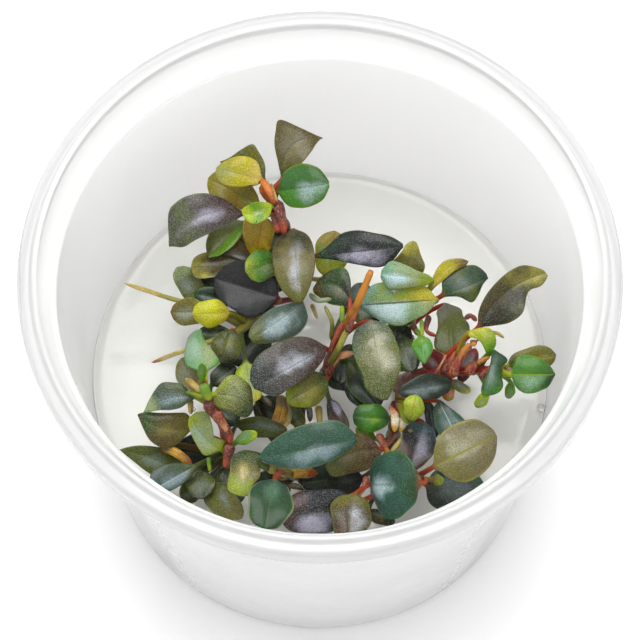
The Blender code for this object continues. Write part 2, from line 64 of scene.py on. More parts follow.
bpy.ops.object.camera_add(
    location=(0, -VIEW_DISTANCE * METRE * math.cos(VIEW_ELEVATION),
              (RIM_HEIGHT + VIEW_DISTANCE * math.sin(VIEW_ELEVATION)) * METRE),
    rotation=(math.pi / 2 - VIEW_ELEVATION - VIEW_DIP, 0, 0))
camera = bpy.context.object
camera.name = "camera"
camera.data.lens = VIEW_LENS
bpy.context.scene.camera = camera
print("The camera stands", round(camera.location.z, 3), "m over the table")

# %% [markdown]
# ## Light
#
# The plant was lit in a bright white room, so the world itself gives most of the light.
# One large lamp overhead adds the sheen on the leaves and the soft shadows. Several small lamps
# would give hard shadows, and the photo has none.

# %% Light
ROOM_LIGHT = 1.06
LAMP_POWER = 6.6
LAMP_SIZE = 0.6
LAMP_PLACE = (-0.02, 0.14, 0.93)
LAMP_AIM = (0, 0, 0.05)

scene = bpy.context.scene
scene.view_settings.view_transform = "Standard"
world = bpy.data.worlds.new("bright_room")
world.use_nodes = True
world.node_tree.nodes["Background"].inputs["Color"].default_value = (1, 1, 1, 1)
world.node_tree.nodes["Background"].inputs["Strength"].default_value = ROOM_LIGHT
scene.world = world

bpy.ops.object.light_add(type="AREA", location=LAMP_PLACE)
lamp = bpy.context.object
lamp.name = "lamp"
lamp.data.energy = LAMP_POWER
lamp.data.size = LAMP_SIZE
lamp.rotation_euler = (Vector(LAMP_AIM) - lamp.location).to_track_quat("-Z", "Y").to_euler()
print("The room gives", ROOM_LIGHT, "and the lamp", LAMP_POWER, "watts")

# %% [markdown]
# ## Table
#
# The cup stands on a plain white sheet, which catches its soft shadow. It is only a stage for
# the picture, so it is one flat plane and no piece of the object.

# %% Table
TABLE_SIZE = 6.0
TABLE_WHITE = 0.94
TABLE_ROUGHNESS = 0.9

bpy.ops.mesh.primitive_plane_add(size=TABLE_SIZE)
table = bpy.context.object
table.name = "table"
table_white = bpy.data.materials.new("table_white")
table_white.use_nodes = True
table_shader = table_white.node_tree.nodes["Principled BSDF"]
table_shader.inputs["Base Color"].default_value = (TABLE_WHITE, TABLE_WHITE, TABLE_WHITE, 1)
table_shader.inputs["Roughness"].default_value = TABLE_ROUGHNESS
table.data.materials.append(table_white)
print("The table is", TABLE_SIZE, "m wide")

# %% [markdown]
# ## Long things that bend
#
# A leaf, a stalk and a stem are all long things that bend. Each starts as a flat grid, whose
# rows run along the thing and whose columns run across it, and the grid's points are then laid
# along the bend. The grid brings its own map of along and across, which the finishes use later.


# %% Laid grids
def deselect():
    """Operators act on all that is selected, so each step starts with nothing selected."""
    bpy.ops.object.select_all(action="DESELECT")


def laid_grid(name, rows, columns, place):
    """A grid whose points go where place(along, across) says, in millimetres.

    along runs from 0 to 1 and across from -1 to 1.
    """
    deselect()
    bpy.ops.mesh.primitive_grid_add(x_subdivisions=rows, y_subdivisions=columns, size=2)
    sheet = bpy.context.object
    sheet.name = name
    sheet.data.name = name
    for vertex in sheet.data.vertices:
        vertex.co = place((vertex.co.x + 1) / 2, vertex.co.y) * METRE
    return sheet


# %% [markdown]
# ## Round things
#
# A cup is turned: its outline is drawn once and spun about the middle, and what meets at the
# seam is merged. A cylinder could be cut to the same shape, but the outline keeps every step
# of the wall in one short list.

# %% Turned shapes
CORNER_SHARE = 0.45
CORNER_STEPS = 3
SPIN_MERGE = 0.00001


def rounded(outline, radius):
    """The same outline of (radius, height) points with each corner rounded."""
    points = [Vector(point) for point in outline]
    line = [points[0]]
    for before, corner, after in zip(points, points[1:], points[2:]):
        cut = min(radius, CORNER_SHARE * (corner - before).length,
                  CORNER_SHARE * (after - corner).length)
        start = corner + (before - corner).normalized() * cut
        end = corner + (after - corner).normalized() * cut
        for step in range(CORNER_STEPS + 1):
            share = step / CORNER_STEPS
            line.append(start.lerp(corner, share).lerp(corner.lerp(end, share), share))
    return line + [points[-1]]


def turned(name, outline, steps):
    """Spin an outline of (radius, height) millimetres about the middle."""
    mesh = bpy.data.meshes.new(name)
    points = [(radius * METRE, 0, height * METRE) for radius, height in outline]
    mesh.from_pydata(points, [(i, i + 1) for i in range(len(points) - 1)], [])
    piece = bpy.data.objects.new(name, mesh)
    bpy.context.collection.objects.link(piece)
    deselect()
    piece.select_set(True)
    bpy.context.view_layer.objects.active = piece
    bpy.ops.object.mode_set(mode="EDIT")
    bpy.ops.mesh.select_all(action="SELECT")
    bpy.ops.mesh.spin(steps=steps, angle=2 * math.pi, center=(0, 0, 0), axis=(0, 0, 1))
    bpy.ops.mesh.select_all(action="SELECT")
    bpy.ops.mesh.remove_doubles(threshold=SPIN_MERGE)
    bpy.ops.mesh.normals_make_consistent(inside=False)
    bpy.ops.object.mode_set(mode="OBJECT")
    bpy.ops.object.shade_smooth()
    return piece


# %% [markdown]
# ## Finishing a piece
#
# Modifiers are applied as soon as a piece has its shape, so that its mesh is all that shows.
# Then the piece is told what it rides with, and the solids it stands for are hidden.


# %% Finishing a piece
def apply_modifiers(piece):
    """Turn what the modifiers show into the mesh itself, in their order."""
    deselect()
    piece.select_set(True)
    bpy.context.view_layer.objects.active = piece
    for modifier in list(piece.modifiers):
        bpy.ops.object.modifier_apply(modifier=modifier.name)


def settle(piece, finish_slot, *nodes):
    """The piece rides with the object and stands for its CAD nodes."""
    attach(piece, "root")
    if nodes:
        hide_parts(*nodes)


# %% [markdown]
# ## Building finishes out of nodes
#
# A finish is a small network of nodes. Short helpers keep each network readable: they add a
# node and fill its sockets, do sums, mix two colours, make a soft step, read a point's place
# and make a cloud. Networks wired by hand look just the same, but can't be read here.


# %% Node helpers
def add_node(tree, kind, sockets=None, **settings):
    """Add a node; a socket takes a plain value or another node's output."""
    node = tree.nodes.new(kind)
    for key, value in settings.items():
        setattr(node, key, value)
    for key, value in (sockets or {}).items():
        if isinstance(value, bpy.types.NodeSocket):
            tree.links.new(value, node.inputs[key])
        else:
            node.inputs[key].default_value = value
    return node


def sum_of(tree, operation, *values):
    """One step of arithmetic on numbers or other nodes' outputs."""
    node = add_node(tree, "ShaderNodeMath", dict(enumerate(values)), operation=operation)
    return node.outputs[0]


def times(tree, first, second):
    return sum_of(tree, "MULTIPLY", first, second)


def scaled(tree, value, factor, added):
    """The value times a factor, and something added."""
    return sum_of(tree, "MULTIPLY_ADD", value, factor, added)


def blend_of(tree, share, first, second):
    """The first colour at share 0 and the second at share 1."""
    node = add_node(tree, "ShaderNodeMix", {0: share, 6: first, 7: second}, data_type="RGBA")
    return node.outputs[2]


def ramp_of(tree, value, low, high):
    """0 below low and 1 above high, with a soft step between."""
    node = add_node(tree, "ShaderNodeMapRange", {"Value": value, "From Min": low, "From Max": high},
                    interpolation_type="SMOOTHSTEP")
    return node.outputs[0]


def place_of(tree):
    """Where a point of the piece is, in metres."""
    return add_node(tree, "ShaderNodeTexCoord").outputs["Object"]


def map_of(tree):
    """Along and across on the piece's own map, each from 0 to 1."""
    flat = add_node(tree, "ShaderNodeUVMap", uv_map="UVMap").outputs[0]
    mapped = add_node(tree, "ShaderNodeSeparateXYZ", {0: flat})
    return mapped.outputs["X"], mapped.outputs["Y"]


def noise_of(tree, coordinates, scale, detail=3.0):
    """A soft cloud, from 0 to 1."""
    node = add_node(tree, "ShaderNodeTexNoise",
                    {"Vector": coordinates, "Scale": scale, "Detail": detail})
    return node.outputs["Fac"]


# %% [markdown]
# ## Groups, colours and materials
#
# An effect that several finishes share is a group of nodes with named inputs and outputs. A
# material places the group, gives it numbers of its own, and feeds its shader from it. One
# helper does that for the plastic, the gel, the leaves and the stems.


# %% Groups and materials
def new_group(name, inputs, outputs):
    """An empty node group with its inputs and outputs, each a dict of name to kind."""
    tree = bpy.data.node_groups.new(name, "ShaderNodeTree")
    for label, kind in inputs.items():
        tree.interface.new_socket(label, in_out="INPUT", socket_type="NodeSocket" + kind)
    for label, kind in outputs.items():
        tree.interface.new_socket(label, in_out="OUTPUT", socket_type="NodeSocket" + kind)
    return tree, tree.nodes.new("NodeGroupInput"), tree.nodes.new("NodeGroupOutput")


def linear(code):
    """A colour written as six hex digits, turned into the shader's own numbers."""
    shades = [int(code[i:i + 2], 16) / 255 for i in (0, 2, 4)]
    return tuple(shade / 12.92 if shade <= 0.04045 else ((shade + 0.055) / 1.055) ** 2.4
                 for shade in shades) + (1.0,)


def material_from(name, group, values, relief, strength=1.0):
    """A material that takes its roughness, relief and any colour from a group, and its shader."""
    material = bpy.data.materials.new(name)
    material.use_nodes = True
    tree = material.node_tree
    skin = add_node(tree, "ShaderNodeGroup", values, node_tree=group)
    bump = add_node(tree, "ShaderNodeBump",
                    {"Height": skin.outputs["Height"], "Distance": relief * METRE,
                     "Strength": strength})
    shader = tree.nodes["Principled BSDF"]
    if "Color" in skin.outputs:
        tree.links.new(skin.outputs["Color"], shader.inputs["Base Color"])
    tree.links.new(skin.outputs["Roughness"], shader.inputs["Roughness"])
    tree.links.new(bump.outputs["Normal"], shader.inputs["Normal"])
    return material, shader


# %% [markdown]
# ## Waves in clear things
#
# Moulded plastic and poured gel are never quite even. Faint waves bend what is behind them, and
# a fine haze dulls them in places. One group makes both, and each clear finish gives it its own
# amounts. Waves in the mesh itself would need far more faces.

# %% Waves in clear things
FINE_WAVES = 9.0
FINE_HEIGHT = 0.08


def make_waves():
    """Broad waves with finer ones on them, and a haze that is rougher where they are high."""
    tree, entry, out = new_group(
        "Moulding waves", {"Size": "Float", "Haze": "Float", "Clear": "Float"},
        {"Roughness": "Float", "Height": "Float"})
    given = entry.outputs
    place = place_of(tree)
    broad = noise_of(tree, place, given["Size"], 1.0)
    fine = noise_of(tree, place, times(tree, given["Size"], FINE_WAVES), 2.0)
    cloud = times(tree, fine, given["Haze"])
    tree.links.new(sum_of(tree, "ADD", cloud, given["Clear"]), out.inputs["Roughness"])
    tree.links.new(scaled(tree, fine, FINE_HEIGHT, broad), out.inputs["Height"])
    return tree


WAVES = make_waves()
print("The waves take", len(WAVES.nodes), "nodes")


def clear_material(name, milk, bend, wave_size, haze, clear, wave_depth):
    """A see-through finish: milk is the share of white scatter, bend the index of refraction."""
    material, shader = material_from(
        name, WAVES, {"Size": wave_size, "Haze": haze, "Clear": clear}, wave_depth)
    shader.inputs["Transmission Weight"].default_value = 1.0 - milk
    shader.inputs["IOR"].default_value = bend
    return material, shader


# %% [markdown]
# ## The clear plastic
#
# The cup is moulded in a slightly cloudy clear plastic. A share of plain white scatter gives the
# milky look, and the rest is seen through. The lip is painted greyer than the wall, as painted
# shade, so that the wide flange does not come out plain white under the lamps. So a group turns the
# thin wall's colour to the lip's over two millimetres. A second material for the lip would leave a
# hard line between the two.

# %% Clear plastic
LIP_FROM = 45.4
LIP_TO = 47.6


def make_painted_lip_shade():
    """A colour that turns from the thin wall's to the lip's painted shade, outwards from an edge.
    """
    tree, entry, out = new_group(
        "Thick edge", {"Thin": "Color", "Thick": "Color", "From": "Float", "To": "Float"},
        {"Color": "Color"})
    given = entry.outputs
    place = place_of(tree)
    flat = add_node(tree, "ShaderNodeVectorMath", {0: place, 1: (1.0, 1.0, 0.0)},
                    operation="MULTIPLY")
    radius = add_node(tree, "ShaderNodeVectorMath", {0: flat.outputs[0]}, operation="LENGTH")
    share = ramp_of(tree, radius.outputs["Value"], given["From"], given["To"])
    tree.links.new(blend_of(tree, share, given["Thin"], given["Thick"]), out.inputs["Color"])
    return tree


plastic, plastic_shader = clear_material("cloudy_plastic", milk=0.5, bend=1.46, wave_size=60.0,
                                         haze=0.1, clear=0.1, wave_depth=0.2)
# The lip's grey is painted shade, laid over the wall's own pale colour.
lip = add_node(plastic.node_tree, "ShaderNodeGroup",
               {"Thin": linear("fefefe"), "Thick": linear("dadada"),
                "From": LIP_FROM * METRE, "To": LIP_TO * METRE}, node_tree=make_painted_lip_shade())
plastic.node_tree.links.new(lip.outputs["Color"], plastic_shader.inputs["Base Color"])
print(plastic.name, "turns grey from", LIP_FROM, "to", LIP_TO, "mm out")

# %% [markdown]
# ## The cup
#
# The real cup is moulded thin and stiffened by its shape: a foot ring, a tapering wall, an inner
# step for a lid, a raised bead and a wide flange with a lip that turns down.
# Its outline is drawn once, its corners are rounded, and it is spun about the middle.

# %% Cup
RIM_RADIUS = 50.0
BEAD_RADIUS = 46.75
LEDGE_HEIGHT = 61.0
LEDGE_RADIUS = 43.7
WALL_RADIUS_LOW = 36.2
WALL_THICKNESS = 0.9
FLOOR_TOP = 4.9
FLOOR_THICKNESS = 0.9
FOOT_WIDTH = 2.4
SKIRT_DROP = 4.3
RIM_DEPTH = 2.1
FLOOR_BEVEL = 0.8
FOOT_BEVEL = 0.7
CUP_STEPS = 144
CORNER = 0.8


def wall_inside(height):
    """Inner radius of the cup's tapering wall at a height."""
    share = (height - FLOOR_TOP) / (LEDGE_HEIGHT - FLOOR_TOP)
    return WALL_RADIUS_LOW + (LEDGE_RADIUS - WALL_RADIUS_LOW) * share


def cup_outline():
    """The whole section, from the middle of the underside round to the middle of the floor."""
    foot_outer = wall_inside(0) + WALL_THICKNESS
    foot_inner = foot_outer - FOOT_WIDTH
    under_floor = FLOOR_TOP - FLOOR_THICKNESS
    skirt_inner = RIM_RADIUS - WALL_THICKNESS
    under_rim = RIM_HEIGHT - RIM_DEPTH
    outside = [
        (0, under_floor), (foot_inner - FLOOR_BEVEL, under_floor),
        (foot_inner, under_floor - FLOOR_BEVEL), (foot_inner, 0),
        (foot_outer - FOOT_BEVEL, 0), (foot_outer, FOOT_BEVEL),
        (wall_inside(LEDGE_HEIGHT) + WALL_THICKNESS, LEDGE_HEIGHT - 0.8),
        (BEAD_RADIUS + 0.7, under_rim), (skirt_inner, under_rim - 0.4),
        (skirt_inner, RIM_HEIGHT - SKIRT_DROP), (RIM_RADIUS, RIM_HEIGHT - SKIRT_DROP),
        (RIM_RADIUS, RIM_HEIGHT - 1.2), (RIM_RADIUS - 0.4, RIM_HEIGHT - 0.7),
        (BEAD_RADIUS + 1.3, RIM_HEIGHT - 0.45), (BEAD_RADIUS + 0.8, RIM_HEIGHT),
        (BEAD_RADIUS, RIM_HEIGHT),
    ]
    inside = [
        (LEDGE_RADIUS + 0.9, LEDGE_HEIGHT + 0.3), (LEDGE_RADIUS, LEDGE_HEIGHT),
        (wall_inside(FLOOR_TOP + 1.4), FLOOR_TOP + 1.4), (WALL_RADIUS_LOW - 1.3, FLOOR_TOP),
        (0, FLOOR_TOP),
    ]
    return outside + inside


cup = turned("cup_clear", rounded(cup_outline(), CORNER), CUP_STEPS)
cup.data.materials.append(plastic)
settle(cup, "clear_plastic", "cup")
print("The cup has", len(cup.data.polygons), "faces")

# %% [markdown]
# ## The gel
#
# The gel was poured warm and set, so it fills the cup's foot and climbs a little up the wall,
# as water does in a glass. It is turned like the cup, as one closed body. The stems simply
# stand in it, because the eye sees no hole round a stem in clear gel. It is milkier than the
# plastic and bends light as water does.

# %% Gel
GEL_TOP = 27.0
GEL_GAP = 0.08
CLIMB = 0.7
CLIMB_WIDTH = 2.5
GEL_STEPS = 144
GEL_CORNER = 0.4


def gel_outline():
    """The gel's section, from the middle of the floor round to the middle of its top."""
    bottom = FLOOR_TOP + GEL_GAP
    edge = wall_inside(GEL_TOP) - GEL_GAP
    return [
        (0, bottom), (WALL_RADIUS_LOW - 1.45, bottom),
        (wall_inside(bottom + 1.5) - GEL_GAP, bottom + 1.5),
        (wall_inside(GEL_TOP + CLIMB) - GEL_GAP, GEL_TOP + CLIMB),
        (edge - 0.25 * CLIMB_WIDTH, GEL_TOP + 0.4 * CLIMB),
        (edge - 0.6 * CLIMB_WIDTH, GEL_TOP + 0.1 * CLIMB), (edge - CLIMB_WIDTH, GEL_TOP),
        (0.6 * edge, GEL_TOP), (0.3 * edge, GEL_TOP), (0, GEL_TOP),
    ]


gel = turned("gel_clear", rounded(gel_outline(), GEL_CORNER), GEL_STEPS)
jelly, jelly_shader = clear_material("clear_jelly", milk=0.66, bend=1.34, wave_size=90.0,
                                     haze=0.06, clear=0.05, wave_depth=0.3)
jelly_shader.inputs["Base Color"].default_value = linear("f0f0eb")
gel.data.materials.append(jelly)
settle(gel, "clear_gel", "gel")
print("The gel is", round(GEL_TOP - FLOOR_TOP, 1), "mm deep")

# %% [markdown]
# ## Colours of the plant
#
# New leaves are yellow or fresh green, grown ones olive, teal or slate, and old ones nearly
# black or purple brown. Naming each colour once keeps the long list of leaves short. A colour
# is written as it should look in the light. A helper then makes it deeper, takes the sheen off
# and divides by the light, so that it looks that way once it is rendered.

# %% Colours
DARKEST = 0.003
LIT = 1.2
SHEEN = 0.036
DEPTH_OF_COLOUR = 1.42


def under_light(code):
    """The skin's own colour, from how it looks under these lamps."""
    seen = linear(code)[:3]
    grey = sum(seen) / 3
    deep = [grey + (shade - grey) * DEPTH_OF_COLOUR for shade in seen]
    return tuple(max(DARKEST, (shade - SHEEN) / LIT) for shade in deep) + (1.0,)


COLOURS = {
    name: under_light(code) for name, code in {
        "lemon": "c9c47a", "yellow": "c4b34a", "ochre": "8c7c30", "gold": "b8a878",
        "lime": "98a64a", "fresh": "6b8a38", "green": "52743f", "deep": "2c3a1c",
        "grass": "848f4c", "olive": "68663a", "moss": "515830", "khaki": "9c9864",
        "dusk": "363c26", "bark": "4f4a34", "brown": "66583c", "rust": "985634",
        "red": "7c3426", "wine": "5a2a28", "pink": "b98c78", "orange": "c47c38",
        "purple": "4f4a46", "night": "2a2e28", "black": "0f1315",
        "navy": "4a5658", "slate": "566058", "steel": "8b979a", "teal": "43564e",
        "jade": "76927c", "mint": "a0b4a4", "mist": "aab6b8", "sage": "8c9678",
        "grey": "86857a", "snow": "d8d6c8", "tan": "b0905c", "straw": "c4b890",
        "silver": "bcbfc6", "lilac": "a9a7b2", "ice": "bccdd0", "cream": "e0dcc6",
        "plum": "4c3f38", "amber": "b8843c", "blush": "c4957c", "forest": "3a4a28",
        "pine": "3a4a40", "clay": "8a5a34", "hay": "b7b06a", "citrus": "b3b23e",
        "meadow": "84824a", "leafy": "527c44", "wheat": "a39c54", "lichen": "9a9a6e",
        "stone": "6a6654", "moor": "5c6044", "sea": "6e8c86", "ash": "b9b9a8",
    }.items()
}
print(len(COLOURS), "colours")

# %% [markdown]
# ## Where a point of a leaf lies
#
# Most patterns on a leaf follow its length and its width, so its skin first reads the leaf's own
# map. The first quarter of the map is the stalk. Patterns on plain coordinates alone would not
# turn with the leaf.

# %% Places on a leaf
PETIOLE_PART = 0.25
LEAF_COLOURS = ("Heel", "Middle", "Tip", "Left", "Edge", "Rib", "Stalk", "Speck", "Bloom")
LEAF_AMOUNTS = ("Left Amount", "Edge Amount", "Rib Amount", "Specks", "Bloom Amount",
                "Bloom Along", "Bloom Across", "Bloom Size")


def leaf_places(tree):
    """Where a point lies: share from heel to tip, side from -1 to 1, and its distance off."""
    along, across = map_of(tree)
    share = add_node(tree, "ShaderNodeMapRange",
                     {"Value": along, "From Min": PETIOLE_PART, "From Max": 1.0},
                     clamp=False).outputs[0]
    side = scaled(tree, across, 2.0, -1.0)
    return share, side, sum_of(tree, "ABSOLUTE", side)


print("A leaf's skin takes", len(LEAF_COLOURS), "colours and", len(LEAF_AMOUNTS), "amounts")

# %% [markdown]
# ## Ground colour, specks and painted sheen
#
# A leaf's colour changes from its heel to its tip and from one side to the other. Its skin is
# peppered with tiny pale cells that this plant is known for, and a pale oval of painted sheen lies
# where it arches, standing in for the shine of the light on it. Each of the three is a part of the
# network with a function of its own.

# %% Parts of the leaf skin
LEFT_FROM = -0.2
LEFT_TO = 0.3
SPECK_CELLS = 6400.0
SPECK_CORE = 0.2
SPECK_RIM = 0.5
SPECK_FEW = 0.85
SPECK_MANY = 1.25
# The painted sheen's oval is wider across than along, and its rim is ragged.
PAINTED_SHEEN_WIDER = 1.7
PAINTED_SHEEN_CLOUD = 0.6


def leaf_ground(tree, given, share, side, drift):
    """The ground colour, from heel to middle to tip, and over to the left half."""
    along = sum_of(tree, "ADD", share, drift)
    colour = blend_of(tree, ramp_of(tree, along, 0.0, 0.5), given["Heel"], given["Middle"])
    colour = blend_of(tree, ramp_of(tree, along, 0.5, 1.0), colour, given["Tip"])
    over = ramp_of(tree, sum_of(tree, "ADD", side, drift), LEFT_FROM, LEFT_TO)
    return blend_of(tree, times(tree, over, given["Left Amount"]), colour, given["Left"])


def leaf_specks(tree, place, amount):
    """Tiny round cells: a mask of dots, more of them as amount goes from 0 to 1."""
    cells = add_node(tree, "ShaderNodeTexVoronoi", {"Vector": place, "Scale": SPECK_CELLS})
    dot = sum_of(tree, "SUBTRACT", 1.0,
                 ramp_of(tree, cells.outputs["Distance"], SPECK_CORE, SPECK_RIM))
    chance = add_node(tree, "ShaderNodeSeparateColor", {0: cells.outputs["Color"]}).outputs[0]
    shown = ramp_of(tree, sum_of(tree, "ADD", chance, amount), SPECK_FEW, SPECK_MANY)
    return times(tree, dot, shown)


def leaf_painted_sheen(tree, given, share, side, cloud):
    """A soft oval of painted sheen: a pale patch that stands in for the shine of light."""
    far = sum_of(tree, "DIVIDE", sum_of(tree, "SUBTRACT", share, given["Bloom Along"]),
                 given["Bloom Size"])
    wide = sum_of(tree, "DIVIDE", sum_of(tree, "SUBTRACT", side, given["Bloom Across"]),
                  times(tree, given["Bloom Size"], PAINTED_SHEEN_WIDER))
    away = sum_of(tree, "SQRT",
                  sum_of(tree, "ADD", times(tree, far, far), times(tree, wide, wide)))
    away = sum_of(tree, "ADD", away, scaled(tree, cloud, PAINTED_SHEEN_CLOUD, -PAINTED_SHEEN_CLOUD / 2))
    oval = sum_of(tree, "SUBTRACT", 1.0, ramp_of(tree, away, 0.0, 1.0))
    return times(tree, oval, given["Bloom Amount"])


# %% [markdown]
# ## The skin of a leaf
#
# The parts come together in one group: veins, a broad cloud and a fine grain shade the ground
# colour, and over it lie the painted sheen, the specks, the paler midrib and margin, and the
# stalk's own colour. All of it is one group of nodes, so each leaf only states its colours and
# amounts.

# %% Leaf skin
CLOUD_SCALE = 260.0
CLOUD_FROM, CLOUD_TO = 0.3, 0.7
CLOUD_DRIFT = 0.36
GRAIN_SCALE = 5200.0
GRAIN_FROM, GRAIN_TO = 0.32, 0.68
VEIN_COUNT = 62.0
VEIN_SLANT = -0.45
VEIN_WANDER = 0.15
PLAIN_SHADE = 0.58
VEIN_SHADE = 0.02
CLOUD_SHADE = 0.3
GRAIN_SHADE = 0.56
PAINTED_SHEEN_PLAIN = 0.6
PAINTED_SHEEN_GRAIN = 0.95
SPECK_SHADE = 0.42
RIB_FROM, RIB_TO = 0.02, 0.13
EDGE_FROM, EDGE_TO = 0.9, 0.98
HEEL_BLEND = 0.05
PLAIN_ROUGHNESS = 0.27
GRAIN_ROUGHNESS = 0.18
PAINTED_SHEEN_ROUGHNESS = 0.12
VEIN_RELIEF = 0.09
GRAIN_RELIEF = 0.5
SPECK_RELIEF = 0.3


def make_leaf_skin():
    """The group that every leaf wears: its colour, its roughness and its fine relief."""
    inputs = {label: "Color" for label in LEAF_COLOURS}
    inputs.update({label: "Float" for label in LEAF_AMOUNTS})
    tree, entry, out = new_group("Leaf skin", inputs,
                                 {"Color": "Color", "Roughness": "Float", "Height": "Float"})
    given = entry.outputs
    share, side, off = leaf_places(tree)
    place = place_of(tree)
    cloud = ramp_of(tree, noise_of(tree, place, CLOUD_SCALE), CLOUD_FROM, CLOUD_TO)
    grain = ramp_of(tree, noise_of(tree, place, GRAIN_SCALE, 2.0), GRAIN_FROM, GRAIN_TO)
    drift = scaled(tree, cloud, CLOUD_DRIFT, -CLOUD_DRIFT / 2)
    colour = leaf_ground(tree, given, share, side, drift)

    wander = sum_of(tree, "ADD", share, times(tree, cloud, VEIN_WANDER))
    veins = sum_of(tree, "SINE", times(tree, scaled(tree, off, VEIN_SLANT, wander), VEIN_COUNT))
    shade = scaled(tree, veins, VEIN_SHADE, PLAIN_SHADE)
    shade = scaled(tree, cloud, CLOUD_SHADE, shade)
    shade = scaled(tree, grain, GRAIN_SHADE, shade)
    colour = add_node(tree, "ShaderNodeMix", {0: 1.0, 6: colour, 7: shade}, data_type="RGBA",
                      blend_type="MULTIPLY").outputs[2]

    # Painted sheen: a pale patch, made to sparkle by the grain, that stands in for the shine of the
    # lamps.
    painted_sheen = times(tree, leaf_painted_sheen(tree, given, share, side, cloud),
                  scaled(tree, grain, PAINTED_SHEEN_GRAIN, PAINTED_SHEEN_PLAIN))
    colour = blend_of(tree, painted_sheen, colour, given["Bloom"])
    dots = leaf_specks(tree, place, given["Specks"])
    colour = blend_of(tree, times(tree, dots, SPECK_SHADE), colour, given["Speck"])
    rib = sum_of(tree, "SUBTRACT", 1.0, ramp_of(tree, off, RIB_FROM, RIB_TO))
    colour = blend_of(tree, times(tree, rib, given["Rib Amount"]), colour, given["Rib"])
    edge = ramp_of(tree, off, EDGE_FROM, EDGE_TO)
    colour = blend_of(tree, times(tree, edge, given["Edge Amount"]), colour, given["Edge"])
    colour = blend_of(tree, ramp_of(tree, share, HEEL_BLEND, -HEEL_BLEND), colour, given["Stalk"])
    tree.links.new(colour, out.inputs["Color"])

    rough = scaled(tree, grain, GRAIN_ROUGHNESS, PLAIN_ROUGHNESS)
    tree.links.new(scaled(tree, painted_sheen, PAINTED_SHEEN_ROUGHNESS, rough), out.inputs["Roughness"])
    relief = scaled(tree, veins, VEIN_RELIEF, times(tree, grain, GRAIN_RELIEF))
    tree.links.new(scaled(tree, dots, SPECK_RELIEF, relief), out.inputs["Height"])
    return tree


LEAF_SKIN = make_leaf_skin()
print("A leaf's skin has", len(LEAF_SKIN.nodes), "nodes")

# %% [markdown]
# ## One look for each leaf
#
# A look is a short list: three ground colours, the paler edge, how many specks and of which colour,
# and where the painted sheen lies and in which colour. What is left out keeps a sensible value.


# %% Leaf looks
LEAF_RELIEF = 0.12
LEAF_BUMP = 0.8
LEAF_SPECULAR = 0.24
LEAF_COAT = 0.3
LEAF_COAT_ROUGHNESS = 0.22


@dataclass(frozen=True)
class Look:
    """Colours by name, then amounts from 0 to 1. The painted sheen, a pale patch for the shine of
    light, is given as amount, along, across and size.
    """
    heel: str
    middle: str
    tip: str
    specks: float = 0.3
    speck: str = "straw"
    # The painted sheen, a pale patch standing in for the shine of light, and its colour.
    painted_sheen: tuple = (0.3, 0.5, 0.2, 0.45)
    sheen_colour: str = "mist"
    edge: str = "sage"
    edge_amount: float = 0.35
    left: str = "olive"
    left_amount: float = 0.0
    rib: str = "moss"
    rib_amount: float = 0.35
    stalk: str = "rust"


def leaf_material(name, look):
    """The leaf skin with one leaf's own colours and amounts."""
    names = (look.heel, look.middle, look.tip, look.left, look.edge, look.rib, look.stalk,
             look.speck, look.sheen_colour)
    amounts = (look.left_amount, look.edge_amount, look.rib_amount, look.specks, *look.painted_sheen)
    values = {label: COLOURS[colour] for label, colour in zip(LEAF_COLOURS, names)}
    values.update(zip(LEAF_AMOUNTS, amounts))
    material, shader = material_from(name, LEAF_SKIN, values, LEAF_RELIEF, LEAF_BUMP)
    shader.inputs["Specular IOR Level"].default_value = LEAF_SPECULAR
    shader.inputs["Coat Weight"].default_value = LEAF_COAT
    shader.inputs["Coat Roughness"].default_value = LEAF_COAT_ROUGHNESS
    return material


# %% [markdown]
# ## Lines that stems follow
#
# A stem is a soft line through a few given points, thickest at the gel. The points are those of the
# imported solids, so that both stand in the same place.

# %% Stems
@dataclass(frozen=True)
class Stem:
    """One stem: its points, and its radius at the foot and at the end."""
    name: str
    points: tuple
    foot_radius: float
    end_radius: float


STEMS = [
    Stem("stem_back", ((-4, 17.5, 23.5), (-4, 17.5, 28), (-5, 18.5, 40), (-6.3, 19.5, 47),
                       (-8.4, 21, 53), (-9.8, 21.5, 56)), 1.3, 0.9),
    Stem("stem_left", ((-9, 12, 23.5), (-9, 12, 28), (-8.5, 10, 36), (-10, 6.5, 40),
                       (-12.5, 2.5, 42), (-14.5, 0, 43.5)), 1.2, 0.8),
    Stem("stem_shoot", ((-16, -17.5, 23.5), (-16, -17.5, 28), (-15.5, -19, 38), (-16, -17.5, 43),
                        (-17.5, -15.5, 47), (-19, -14.5, 51), (-19.5, -13, 54)), 1.3, 0.7),
    Stem("stem_centre", ((-0.5, -2.5, 23.5), (-0.5, -2.5, 28), (1, -4.5, 38), (2.5, -3, 45),
                         (4.5, -1.5, 51), (6.5, 0.5, 56), (8.5, 4, 60)), 1.4, 0.6),
    Stem("stem_right", ((13.5, -2.5, 23.5), (13.5, -2.5, 28), (14.5, -5, 36), (17.5, -7, 43),
                        (22, -8.5, 47), (26.5, -9.5, 50), (30.5, -11.5, 53)), 1.4, 0.8),
    Stem("stem_front_right", ((12.5, -13, 23.5), (12.5, -13, 28), (12.5, -14.5, 36),
                              (13, -13.5, 42), (13.5, -12, 46)), 1.5, 0.9),
    Stem("stem_back_right", ((14, 6, 23.5), (14, 6, 28), (14.5, 3.5, 38), (16, 3.8, 44),
                             (17.3, 5.1, 48.5)), 1.2, 0.8),
    Stem("stem_front", ((-2, -18.5, 23.5), (-2, -18.5, 28), (-4, -23.5, 38), (-6, -26, 45),
                        (-8.5, -27, 49)), 1.2, 0.8),
    Stem("stem_low_right", ((14.5, -18.5, 23.5), (14.5, -18.5, 28), (14.5, -20.5, 33),
                            (15.3, -25.5, 42), (16.4, -28.5, 48)), 1.2, 0.9),
]
